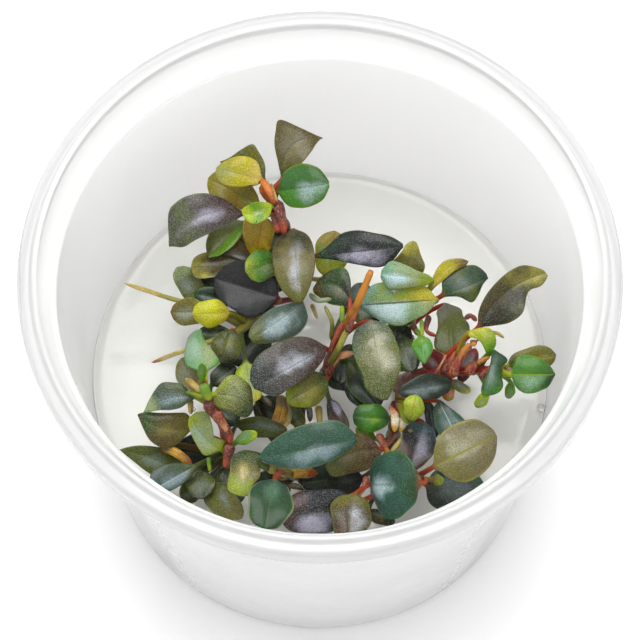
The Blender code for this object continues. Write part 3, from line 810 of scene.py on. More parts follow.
print(len(STEMS), "stems, the longest through", max(len(stem.points) for stem in STEMS), "points")

# %% [markdown]
# ## Soft lines through points
#
# A line that bends softly through its points needs a few points more between each two. The
# same easing rounds the outlines of the leaves later on. A leaf's stalk leaves its stem's line
# part of the way along, so a helper finds that place by its share of the length.

# %% Soft lines
LINE_CUTS = 8


def eased(before, start, end, after, t):
    """Part t of the way from start to end, on a soft curve through all four."""
    return 0.5 * ((2 * start) + (end - before) * t
                  + (2 * before - 5 * start + 4 * end - after) * t * t
                  + (3 * start - before - 3 * end + after) * t ** 3)


def smooth_line(points):
    """Points on a soft curve through the given ones."""
    corners = [Vector(point) for point in points]
    ends = [2 * corners[0] - corners[1]] + corners + [2 * corners[-1] - corners[-2]]
    line = []
    for i in range(1, len(corners)):
        line += [eased(*ends[i - 1:i + 3], cut / LINE_CUTS) for cut in range(LINE_CUTS)]
    return line + [corners[-1]]


def line_point(line, share):
    """The point and the direction at a share of a line's length."""
    lengths = [(line[i + 1] - line[i]).length for i in range(len(line) - 1)]
    left = share * sum(lengths)
    for i, length in enumerate(lengths):
        if left <= length or i == len(lengths) - 1:
            step = line[i + 1] - line[i]
            return line[i] + step * min(left / length, 1.0), step.normalized()
        left -= length


LINES = {stem.name: smooth_line(stem.points) for stem in STEMS}
print("Each stem's line has", [len(line) for line in LINES.values()], "points")

# %% [markdown]
# ## The outlines of the leaves
#
# No two leaves have the same outline, and many are uneven or notched on one side. The leaves that
# show best have their half widths listed, in millimetres, at seven stations along the blade, first
# on the left and then on the right. The others get a smooth oval, which would look too tidy on them
# all.

# %% Outlines
STATIONS = (0.0, 0.15, 0.3, 0.5, 0.7, 0.85, 1.0)
OUTLINES = {
    "back_tall": ((0.4, 1.1, 2.4, 3.6, 4.9, 2.4, 0.1), (0.4, 1.0, 2.8, 3.4, 2.7, 1.4, 0.1)),
    "back_green": ((0.8, 2.9, 3.8, 4.1, 3.6, 2.7, 0.8), (1.2, 2.8, 3.3, 3.5, 3.1, 2.4, 0.8)),
    "back_yellow": ((1.2, 1.3, 1.9, 2.3, 2.4, 2.1, 1.0), (1.2, 2.6, 3.1, 3.1, 2.5, 1.6, 0.4)),
    "back_grey": ((0.5, 2.0, 2.5, 2.5, 1.8, 1.0, 0.1), (1.4, 2.5, 3.2, 4.0, 2.4, 0.8, 0.1)),
    "back_brown": ((0.5, 1.8, 2.8, 3.3, 3.0, 2.4, 0.2), (0.5, 2.4, 3.4, 4.0, 4.3, 3.9, 0.3)),
    "back_hanging": ((1.6, 2.1, 2.3, 2.2, 2.1, 1.5, 0.4), (2.6, 3.2, 3.2, 2.8, 2.1, 1.3, 0.2)),
    "centre_golden": ((1.4, 2.6, 3.1, 3.3, 2.8, 1.9, 0.8), (1.4, 3.2, 3.9, 4.0, 3.6, 2.7, 1.0)),
    "blue_grey": ((2.0, 3.2, 3.8, 3.7, 3.0, 2.0, 0.9), (0.4, 1.0, 1.6, 2.3, 2.2, 1.9, 1.2)),
    "long_blue": ((0.4, 1.6, 3.3, 3.6, 2.8, 2.1, 0.8), (0.4, 0.8, 1.5, 2.4, 3.1, 2.4, 0.3)),
    "back_olive": ((0.4, 2.0, 2.5, 1.9, 1.4, 1.2, 0.5), (0.4, 2.6, 3.1, 3.0, 1.9, 1.2, 0.6)),
    "pale_blue": ((0.8, 1.2, 1.5, 1.9, 2.2, 2.2, 0.9), (0.5, 0.9, 1.2, 1.8, 2.3, 2.3, 0.9)),
    "right_green": ((1.8, 2.8, 3.5, 3.6, 3.3, 2.8, 1.5), (0.2, 0.7, 1.3, 2.9, 2.0, 0.7, 0.1)),
    "right_brown": ((0.9, 1.7, 2.1, 2.4, 2.7, 2.6, 1.2), (0.4, 2.4, 4.1, 4.4, 2.0, 2.0, 0.9)),
    "right_grey": ((0.6, 2.3, 2.5, 3.3, 3.1, 1.9, 0.2), (0.8, 1.9, 1.9, 2.1, 2.9, 2.8, 0.3)),
    "big_yellow": ((0.8, 2.3, 3.1, 4.0, 3.4, 2.2, 0.5), (1.0, 2.6, 3.2, 3.7, 3.6, 3.2, 1.2)),
    "sprig_end": ((1.8, 3.1, 3.3, 3.2, 2.6, 1.8, 0.4), (1.2, 2.5, 3.1, 3.1, 2.6, 2.0, 0.2)),
    "sprig_dark": ((2.0, 2.5, 1.8, 2.1, 2.8, 2.4, 0.9), (0.2, 0.2, 0.2, 0.3, 0.6, 0.7, 0.4)),
    "sprig_curl": ((1.1, 2.0, 2.5, 2.6, 2.4, 2.1, 1.6), (0.9, 0.8, 0.4, 0.2, 0.2, 0.2, 0.2)),
    "big_grey": ((0.6, 1.7, 2.5, 2.9, 3.1, 3.1, 0.6), (0.9, 3.0, 4.1, 4.6, 4.6, 4.0, 2.2)),
    "centre_olive": ((1.8, 2.9, 3.5, 3.8, 3.4, 2.0, 0.6), (2.2, 3.3, 3.9, 3.8, 3.1, 3.0, 1.2)),
    "long_teal": ((0.8, 2.3, 3.4, 4.1, 4.1, 3.7, 1.6), (0.6, 1.8, 2.8, 3.2, 2.8, 1.9, 0.8)),
    "shoot_pale": ((1.2, 2.8, 3.2, 3.1, 2.6, 2.3, 1.7), (1.0, 2.6, 2.2, 1.2, 0.5, 0.2, 0.1)),
    "shoot_grey": ((0.4, 1.2, 2.0, 2.0, 1.3, 0.8, 0.1), (0.3, 2.1, 2.5, 2.8, 1.9, 1.0, 0.1)),
    "shoot_olive": ((0.5, 2.1, 3.3, 3.2, 2.6, 1.4, 0.1), (1.2, 2.8, 3.0, 2.7, 2.1, 1.5, 0.4)),
    "shoot_light": ((1.8, 2.4, 2.1, 1.7, 1.4, 1.2, 0.8), (1.6, 1.6, 1.2, 2.2, 2.8, 2.8, 1.6)),
    "shoot_speckled": ((2.6, 3.5, 3.5, 3.1, 2.6, 1.5, 0.4), (1.6, 2.3, 2.6, 2.7, 2.7, 2.3, 1.4)),
    "front_blue": ((0.4, 1.0, 1.4, 1.6, 1.5, 1.1, 0.4), (0.4, 1.3, 2.1, 2.7, 3.0, 2.6, 1.0)),
    "yellow_sheath": ((0.4, 0.6, 0.7, 0.7, 0.6, 0.4, 0.1), (0.4, 0.6, 0.7, 0.7, 0.6, 0.4, 0.1)),
    "left_fresh": ((0.5, 1.2, 1.6, 1.8, 1.6, 1.2, 0.3), (1.0, 2.2, 3.0, 3.2, 2.8, 2.0, 0.6)),
    "low_olive": ((1.0, 3.2, 4.4, 4.8, 4.5, 3.8, 1.6), (1.0, 3.4, 4.7, 4.8, 4.2, 3.0, 0.8)),
    "low_slate": ((0.4, 0.9, 1.6, 2.3, 2.5, 2.0, 0.4), (1.0, 1.8, 2.2, 2.5, 2.4, 1.8, 0.4)),
    "front_olive": ((1.6, 2.6, 2.9, 2.8, 2.4, 0.8, 0.1), (1.4, 1.9, 2.1, 2.4, 3.0, 3.0, 1.5)),
}
print(len(OUTLINES), "outlines by hand, at", len(STATIONS), "stations each")

# %% [markdown]
# ## What a leaf is
#
# A leaf is one grid: the first quarter of its rows is the stalk, and the rest is the blade. A
# line of numbers says where the stalk starts, where the blade's heel and tip are, and how the
# blade leans, bows, swings and cups. Sculpting each leaf by hand would look as good, but then
# no two would share a rule.

# %% Leaf
@dataclass(frozen=True)
class Leaf:
    """A leaf: where its stalk leaves the stem, its heel and tip, its width and its bends.

    lean turns the blade about its length, rise and swing bow it up and aside, and cup bends its
    sides down. wave is how high the margins wave, turns how many waves there are, curl how far
    the tip bends down, and fold how far the two halves rise from the midrib.
    """
    name: str
    tone: str
    stem: str
    at: float
    heel: tuple
    tip: tuple
    width: float
    lean: float = 0.0
    rise: float = 0.0
    swing: float = 0.0
    cup: float = 0.0
    heel_taper: float = 0.5
    tip_taper: float = 0.5
    wave: float = 0.06
    turns: float = 1.5
    curl: float = 0.12
    fold: float = 0.22


print("A leaf is told by", len(Leaf.__dataclass_fields__), "values")

# %% [markdown]
# ## How wide a blade is
#
# The listed outline is eased between its stations. Any other blade is an oval whose widest place
# comes from its two tapers, with one side made a little uneven. Both close to a round heel and tip
# and never get narrower than the stalk where they leave it.

# %% Widths
PETIOLE_HALF_WIDTH = 0.42
ROUND_HEEL = 0.06
ROUND_TIP = 0.07
TIP_SLACK = 1.02
UNEVEN = 0.07
UNEVEN_TURNS = 9
SIDES_APART = 2.2
NARROWEST = 0.05


def width_share(leaf, share):
    """The outline of a blade: 0 at its ends and 1 where it is widest."""
    widest = leaf.heel_taper / (leaf.heel_taper + leaf.tip_taper)
    return ((share / widest) ** leaf.heel_taper
            * ((1 - share) / (1 - widest)) ** leaf.tip_taper)


def hand_width(leaf, share, side):
    """A half width from the leaf's own listed outline, eased between its stations."""
    widths = OUTLINES[leaf.name][side]
    for i in range(1, len(STATIONS)):
        if share <= STATIONS[i] or i == len(STATIONS) - 1:
            gap = STATIONS[i] - STATIONS[i - 1]
            t = min(1.0, (share - STATIONS[i - 1]) / gap)
            before, after = widths[max(i - 2, 0)], widths[min(i + 1, len(widths) - 1)]
            start, end = widths[i - 1], widths[i]
            return max(NARROWEST, eased(before, start, end, after, t))


def half_width(leaf, share, across):
    """Half the blade's width on one side, closed to a round heel and tip."""
    if leaf.name in OUTLINES:
        half = hand_width(leaf, share, 0 if across > 0 else 1)
        half *= min(1.0, math.sqrt((TIP_SLACK - share) / ROUND_TIP))
        half *= min(1.0, math.sqrt(share / ROUND_HEEL))
    else:
        half = leaf.width / 2 * width_share(leaf, share)
        turn = UNEVEN_TURNS * share + 2 * len(leaf.name) + (0 if across > 0 else SIDES_APART)
        half *= 1 + UNEVEN * math.sin(turn)
    return math.hypot(half, PETIOLE_HALF_WIDTH * (1 - share) ** 3)


print("The widest blade by hand is",
      max(sum(pair) for sides in OUTLINES.values() for pair in zip(*sides)), "mm wide")

# %% [markdown]
# ## How a blade bends
#
# The blade starts flat between heel and tip, facing the light. It then bows up and aside, its
# margins wave, its halves fold or cup, its tip curls down, and its midrib is a shallow groove.
# Each bend is one line of sums. Bend modifiers could do some of it, but not all at once.

# %% Blade
TOWARDS_LIGHT = Vector((0.0, -0.44, 0.9))
CAMBER = 0.12
RIB_GROOVE = 0.16
RIB_WIDTH = 0.45
LEFT_PHASE, RIGHT_PHASE = 0.25, 0.6
CURL_FROM = 0.6


def blade_axes(leaf):
    """Directions along the blade, out of its upper face, and to its left."""
    along = (Vector(leaf.tip) - Vector(leaf.heel)).normalized()
    face = (TOWARDS_LIGHT - along * TOWARDS_LIGHT.dot(along)).normalized()
    face.rotate(Matrix.Rotation(math.radians(leaf.lean), 3, along))
    return along, face, face.cross(along)


def blade_point(leaf, share, across):
    """A point of the blade: share 0 to 1 along, across -1 to 1."""
    _, face, left = blade_axes(leaf)
    heel, tip = Vector(leaf.heel), Vector(leaf.tip)
    length = (tip - heel).length
    bow = 4 * share * (1 - share) * length
    half = half_width(leaf, share, across)
    point = heel.lerp(tip, share) + face * bow * leaf.rise + left * bow * leaf.swing
    point += left * across * half
    opened = min(1.0, 3 * share)
    point -= face * (leaf.cup + CAMBER) * across * across * half * opened
    point += face * leaf.fold * abs(across) * half * opened
    phase = LEFT_PHASE if across > 0 else RIGHT_PHASE
    ripple = math.sin(2 * math.pi * (leaf.turns * share + phase))
    point += face * leaf.wave * half * across * across * ripple * min(1, 4 * share)
    point -= face * RIB_GROOVE * math.exp(-(across * half / RIB_WIDTH) ** 2) * (1 - share)
    return point - face * leaf.curl * length * max(0, share - CURL_FROM) ** 2


# %% [markdown]
# ## The stalk and the whole leaf
#
# The stalk is a narrow strip that bends from the stem to the heel and widens where it joins.
# A solidify modifier gives the grid its thickness: full in the stalk, thin in the blade, and
# nearly nothing at the margin. One step of subdivision then rounds it all.

# %% Stalk and leaf
PETIOLE_THICKNESS = 0.85
BLADE_SHARE = 0.42
BLADE_OPENS = 0.18
THINNEST = 0.04
MARGIN_REACH = 0.97
LEAF_ROWS = 40
LEAF_COLUMNS = 12
CROWD_TO_RIB = 1.3
BEND_PULL = 0.15
BEND_BEHIND = 0.9
STALK_BEND = 0.6
STALK_FLARE = 0.7


def stalk_point(leaf, step, across):
    """A point of the stalk: step 0 in the stem to 1 at the heel."""
    along, _, left = blade_axes(leaf)
    start = line_point(LINES[leaf.stem], leaf.at)[0]
    heel = Vector(leaf.heel)
    bend = start.lerp(heel, STALK_BEND)
    bend -= along * max(BEND_PULL * (heel - start).length, BEND_BEHIND - along.dot(heel - bend))
    point = start.lerp(bend, step).lerp(bend.lerp(heel, step), step)
    ahead = ((bend - start) * (1 - step) + (heel - bend) * step).normalized()
    side = (left - ahead * left.dot(ahead)).normalized()
    spread = 1 + STALK_FLARE * (1 - step) ** 2
    return point + side * across * PETIOLE_HALF_WIDTH * spread


def leaf_thickness(along, across):
    """Share of the full thickness at a place of the grid."""
    body = math.sqrt(max(THINNEST, 1 - (MARGIN_REACH * across) ** 2))
    opening = min(1.0, max(0.0, (along - PETIOLE_PART) / BLADE_OPENS))
    return body * (1 + (BLADE_SHARE - 1) * opening)


def leaf_piece(leaf, rows=LEAF_ROWS, columns=LEAF_COLUMNS):
    """The grid of one leaf, laid out, thickened and smoothed."""
    def place(along, across):
        across = math.copysign(abs(across) ** CROWD_TO_RIB, across)
        if along < PETIOLE_PART:
            return stalk_point(leaf, along / PETIOLE_PART, across)
        return blade_point(leaf, (along - PETIOLE_PART) / (1 - PETIOLE_PART), across)

    piece = laid_grid(leaf.name, rows, columns, place)
    thickness = piece.vertex_groups.new(name="thickness")
    for index in range(len(piece.data.vertices)):
        along = (index % (rows + 1)) / rows
        across = 2 * (index // (rows + 1)) / columns - 1
        thickness.add([index], leaf_thickness(along, across), "REPLACE")
    solid = piece.modifiers.new("thickness", "SOLIDIFY")
    solid.thickness = PETIOLE_THICKNESS * METRE
    solid.offset = 0
    solid.vertex_group = "thickness"
    smooth = piece.modifiers.new("smooth", "SUBSURF")
    smooth.levels = smooth.render_levels = 1
    apply_modifiers(piece)
    piece.vertex_groups.clear()
    bpy.ops.object.shade_smooth()
    return piece


print("A grown leaf starts as", LEAF_ROWS, "rows of", LEAF_COLUMNS, "faces")

# %% [markdown]
# ## The grown leaves at the back and on the left
#
# Forty-nine leaves are large enough to be pieces of their own. Each line gives the leaf's
# tone and stem, how far along it the stalk starts, the heel and the tip, the width, and the
# bends. Leaves scattered by chance would be quicker, but they would not be this plant's.

# %% Leaves at the back and on the left
LEAVES = [
    Leaf("back_tall", "olive", "stem_back", 0.93, (-6.3, 23.8, 55), (0.5, 30, 58), 7.8,
         rise=0.1, swing=0.3, cup=-0.15, heel_taper=0.75, tip_taper=0.35),
    Leaf("back_green", "green", "stem_back", 0.8, (-7, 20.5, 57), (1.5, 20.3, 60), 7.8,
         rise=0.05, cup=0.3, heel_taper=0.42, tip_taper=0.4),
    Leaf("back_yellow", "yellow", "stem_back", 1.0, (-10, 22.2, 58), (-17.5, 23.7, 59), 5.6,
         rise=0.1, cup=0.2, tip_taper=0.45),
    Leaf("back_grey", "olive", "stem_back", 0.82, (-9.5, 23.8, 54.3), (-17, 27, 55), 8,
         swing=-0.12, cup=-0.1, heel_taper=0.4, tip_taper=0.9),
    Leaf("back_ochre", "olive", "stem_back", 0.75, (-10.5, 21.3, 50.5), (-19, 25.8, 51.5), 6,
         rise=0.05, heel_taper=0.6),
    Leaf("back_brown", "brown", "stem_back", 0.55, (-13, 18.7, 52), (-25.5, 13, 51), 9,
         rise=0.12, swing=-0.18, cup=0.15, heel_taper=0.6, tip_taper=0.45),
    Leaf("back_hanging", "yellow", "stem_back", 0.65, (-9.5, 17.5, 53), (-11, 13, 46), 5.8,
         rise=0.1, cup=0.25),
    Leaf("left_fresh", "green", "stem_back", 0.5, (-13, 19, 48), (-19, 13.5, 46), 5, lean=20),
    Leaf("left_band", "olive", "stem_left", 0.45, (-12.5, 13, 44), (-22, 12.5, 44), 5, lean=25,
         heel_taper=0.7, tip_taper=0.35),
    Leaf("left_dark", "dark", "stem_left", 0.55, (-7.2, 6.3, 45), (-18, 10, 45), 9.2,
         cup=-0.1, tip_taper=0.6),
    Leaf("centre_golden", "brown", "stem_back", 0.5, (-4.4, 16.5, 50), (-3.5, 3, 50), 7.4,
         rise=0.16, cup=0.2, heel_taper=0.45, tip_taper=0.4),
    Leaf("left_yellow", "yellow", "stem_left", 0.86, (-15.5, 2.9, 46), (-21.5, 2.4, 47), 4.8,
         rise=0.1, cup=0.3),
    Leaf("left_speckled", "dark", "stem_left", 1.0, (-15, -1, 47), (-16.5, -6.5, 46), 5.2,
         rise=0.1, cup=0.2, heel_taper=0.45),
]
print(len(LEAVES), "leaves so far")

# %% [markdown]
# ## The grown leaves in front
#
# The shoot on the left and the stems in front carry these leaves. Most of them spread outwards,
# towards the wall of the cup, as leaves do that reach for light.

# %% Leaves in front
LEAVES += [
    Leaf("shoot_pale", "pale", "stem_shoot", 0.88, (-19.2, -10.7, 52), (-20, -2, 50), 6.6,
         rise=0.1, cup=0.3, heel_taper=0.7, tip_taper=0.7),
    Leaf("shoot_grey", "blue", "stem_shoot", 0.75, (-21, -14, 49), (-29.5, -16, 47), 5.2,
         rise=0.08, swing=-0.12, cup=0.2),
    Leaf("shoot_olive", "olive", "stem_shoot", 0.5, (-21.5, -17.5, 44), (-30.5, -16, 46), 6.4,
         rise=0.08, swing=0.12, cup=0.2, tip_taper=0.7),
    Leaf("shoot_light", "green", "stem_shoot", 0.42, (-16.6, -21.3, 44), (-21.5, -17, 48), 6.2,
         swing=0.1, cup=-0.2),
    Leaf("shoot_speckled", "blue", "stem_shoot", 0.78, (-17.6, -14.5, 51), (-11.2, -16, 48), 8,
         rise=0.2, swing=0.15, cup=0.2, heel_taper=0.45, tip_taper=0.45),
    Leaf("front_olive", "olive", "stem_front", 0.55, (-13, -23.2, 47), (-12, -31.5, 48), 6,
         rise=0.14, cup=0.15, heel_taper=0.45, tip_taper=0.4),
    Leaf("front_low", "olive", "stem_shoot", 0.2, (-19, -25.8, 38), (-13, -32.3, 40.5), 5.2,
         rise=0.05, tip_taper=0.6),
    Leaf("front_blue", "blue", "stem_shoot", 0.44, (-20.8, -24, 43), (-28, -29, 44), 6.4,
         cup=0.1, tip_taper=0.7),
    Leaf("front_point", "dark", "stem_shoot", 0.4, (-21.8, -23.7, 37.5), (-33.5, -20.8, 42.5), 5,
         swing=-0.05, cup=-0.1, heel_taper=0.6, tip_taper=0.9),
    Leaf("front_round", "dark", "stem_front", 0.85, (-7.5, -30.5, 52), (-9, -39.5, 53), 7.6,
         rise=0.05, cup=0.1, heel_taper=0.4, tip_taper=0.4),
    Leaf("front_purple", "dark", "stem_low_right", 0.5, (5.5, -31.5, 44), (-6.5, -35, 47), 7.6,
         rise=0.05, cup=0.3),
    Leaf("front_mauve", "brown", "stem_low_right", 0.6, (5.5, -30.8, 46.5), (4.5, -39.8, 46.5),
         6.8, rise=0.1, cup=0.2, heel_taper=0.3),
    Leaf("mid_mauve", "brown", "stem_front_right", 0.55, (10, -22, 45), (1, -26.5, 48), 7,
         swing=-0.1, cup=0.2),
    Leaf("long_teal", "blue", "stem_front", 1.0, (-10, -26, 51), (6, -24, 54), 8.4,
         rise=0.08, cup=0.2, tip_taper=0.3),
]
print(len(LEAVES), "leaves so far")

# %% [markdown]
# ## The grown leaves in the middle and on the right
#
# These leaves cover the middle of the clump and reach furthest out on the right. Several lie
# across each other, so their heights were chosen to let one pass over the next.

# %% Leaves in the middle and on the right
LEAVES += [
    Leaf("big_grey", "brown", "stem_centre", 0.4, (1, -5.5, 50), (-11, -14, 53), 9,
         rise=0.12, cup=0.15, tip_taper=0.4),
    Leaf("under_green", "olive", "stem_centre", 0.35, (1, -9.5, 46), (-5.5, -14, 47), 5.6,
         rise=0.08, cup=0.2, heel_taper=0.4),
    Leaf("blue_grey", "blue", "stem_left", 0.35, (-3, 4.8, 46), (-11.5, -3.5, 49), 6.4,
         rise=0.1, cup=0.3, heel_taper=0.35, tip_taper=0.4),
    Leaf("curled_dark", "dark", "stem_centre", 0.65, (5, 3.5, 50), (-1.2, 6, 49), 6.4,
         swing=-0.25, cup=0.2, heel_taper=0.45, tip_taper=0.6),
    Leaf("long_blue", "blue", "stem_back", 0.42, (-0.5, 11.7, 50), (14, 12, 53), 6.2,
         rise=0.06, cup=0.25, heel_taper=0.7, tip_taper=0.42),
    Leaf("back_olive", "olive", "stem_back_right", 0.75, (14, 10, 45), (16, 15.5, 48), 5),
    Leaf("pale_blue", "pale", "stem_back_right", 1.0, (18.7, 5.3, 54), (10.2, 5.4, 56), 5.2,
         rise=0.12, cup=0.3, heel_taper=0.7, tip_taper=0.35),
    Leaf("right_green", "green", "stem_back_right", 0.8, (20.8, 4.6, 49.5), (28.4, 7.5, 50), 5.8,
         cup=0.1, heel_taper=0.6, tip_taper=0.35),
    Leaf("right_brown", "brown", "stem_right", 0.58, (26.8, -1.5, 50), (38, 6.5, 54), 6.6,
         swing=0.12, cup=-0.1, heel_taper=0.45, tip_taper=0.4),
    Leaf("big_yellow", "yellow", "stem_back_right", 0.9, (19.5, 3, 51), (7, 2, 51), 7.4,
         rise=0.1, cup=0.2),
    Leaf("right_grey", "olive", "stem_back_right", 0.55, (21.5, 5.5, 44), (22.5, -5, 45), 6.4,
         rise=0.1, heel_taper=0.35, tip_taper=0.45),
    Leaf("centre_olive", "olive", "stem_centre", 0.6, (8.5, -1, 51), (11, -15, 50), 8,
         rise=0.15, cup=0.15, heel_taper=0.4, tip_taper=0.35),
    Leaf("sprig_end", "green", "stem_right", 1.0, (31.8, -12.7, 55), (39, -12.7, 55), 6.6,
         rise=0.06, cup=0.25, heel_taper=0.45),
    Leaf("sprig_dark", "dark", "stem_right", 0.85, (29, -8.5, 55), (27.1, -16, 54), 4.2,
         rise=0.1, cup=0.25, heel_taper=0.45),
    Leaf("sprig_curl", "green", "stem_right", 0.75, (25.2, -4.4, 54), (27.9, -8, 52.8), 5,
         rise=0.15, swing=0.1, cup=0.2, tip_taper=0.6),
    Leaf("right_long", "dark", "stem_right", 0.62, (22, -11.5, 49), (13, -14, 51), 4.4,
         rise=0.05, tip_taper=0.6),
    Leaf("low_olive", "olive", "stem_low_right", 0.9, (18.8, -29.7, 56), (29, -24.5, 57), 8.4,
         rise=0.04, cup=0.1, heel_taper=0.6, tip_taper=0.35),
    Leaf("low_teal", "blue", "stem_low_right", 1.0, (16.2, -32.3, 55), (8.3, -29, 47), 11,
         rise=0.15, cup=0.2, heel_taper=0.35, tip_taper=0.4),
    Leaf("low_green", "green", "stem_low_right", 0.66, (17.8, -27, 42), (27.6, -28.5, 41), 8.4,
         cup=0.1, heel_taper=0.45),
    Leaf("low_blue", "blue", "stem_front_right", 0.7, (17.4, -16.5, 44), (15, -25.5, 45), 6.2,
         rise=0.05, heel_taper=0.45),
    Leaf("low_slate", "blue", "stem_front_right", 0.9, (20, -13.5, 46), (23.5, -21.5, 46), 5.4,
         cup=0.1, heel_taper=0.6, tip_taper=0.6),
    Leaf("small_green", "green", "stem_front_right", 0.85, (11.5, -16.7, 46), (5.5, -16.7, 47),
         4.8, rise=0.1, cup=0.2, heel_taper=0.45, tip_taper=0.4),
]
print(len(LEAVES), "grown leaves")

# %% [markdown]
# ## The looks of the leaves
#
# One line for each grown leaf: the colours of heel, middle and tip, then its specks, painted sheen,
# margin, midrib and stalk where they differ from the usual. A few shared looks would be shorter,
# but on this plant hardly two leaves are alike.

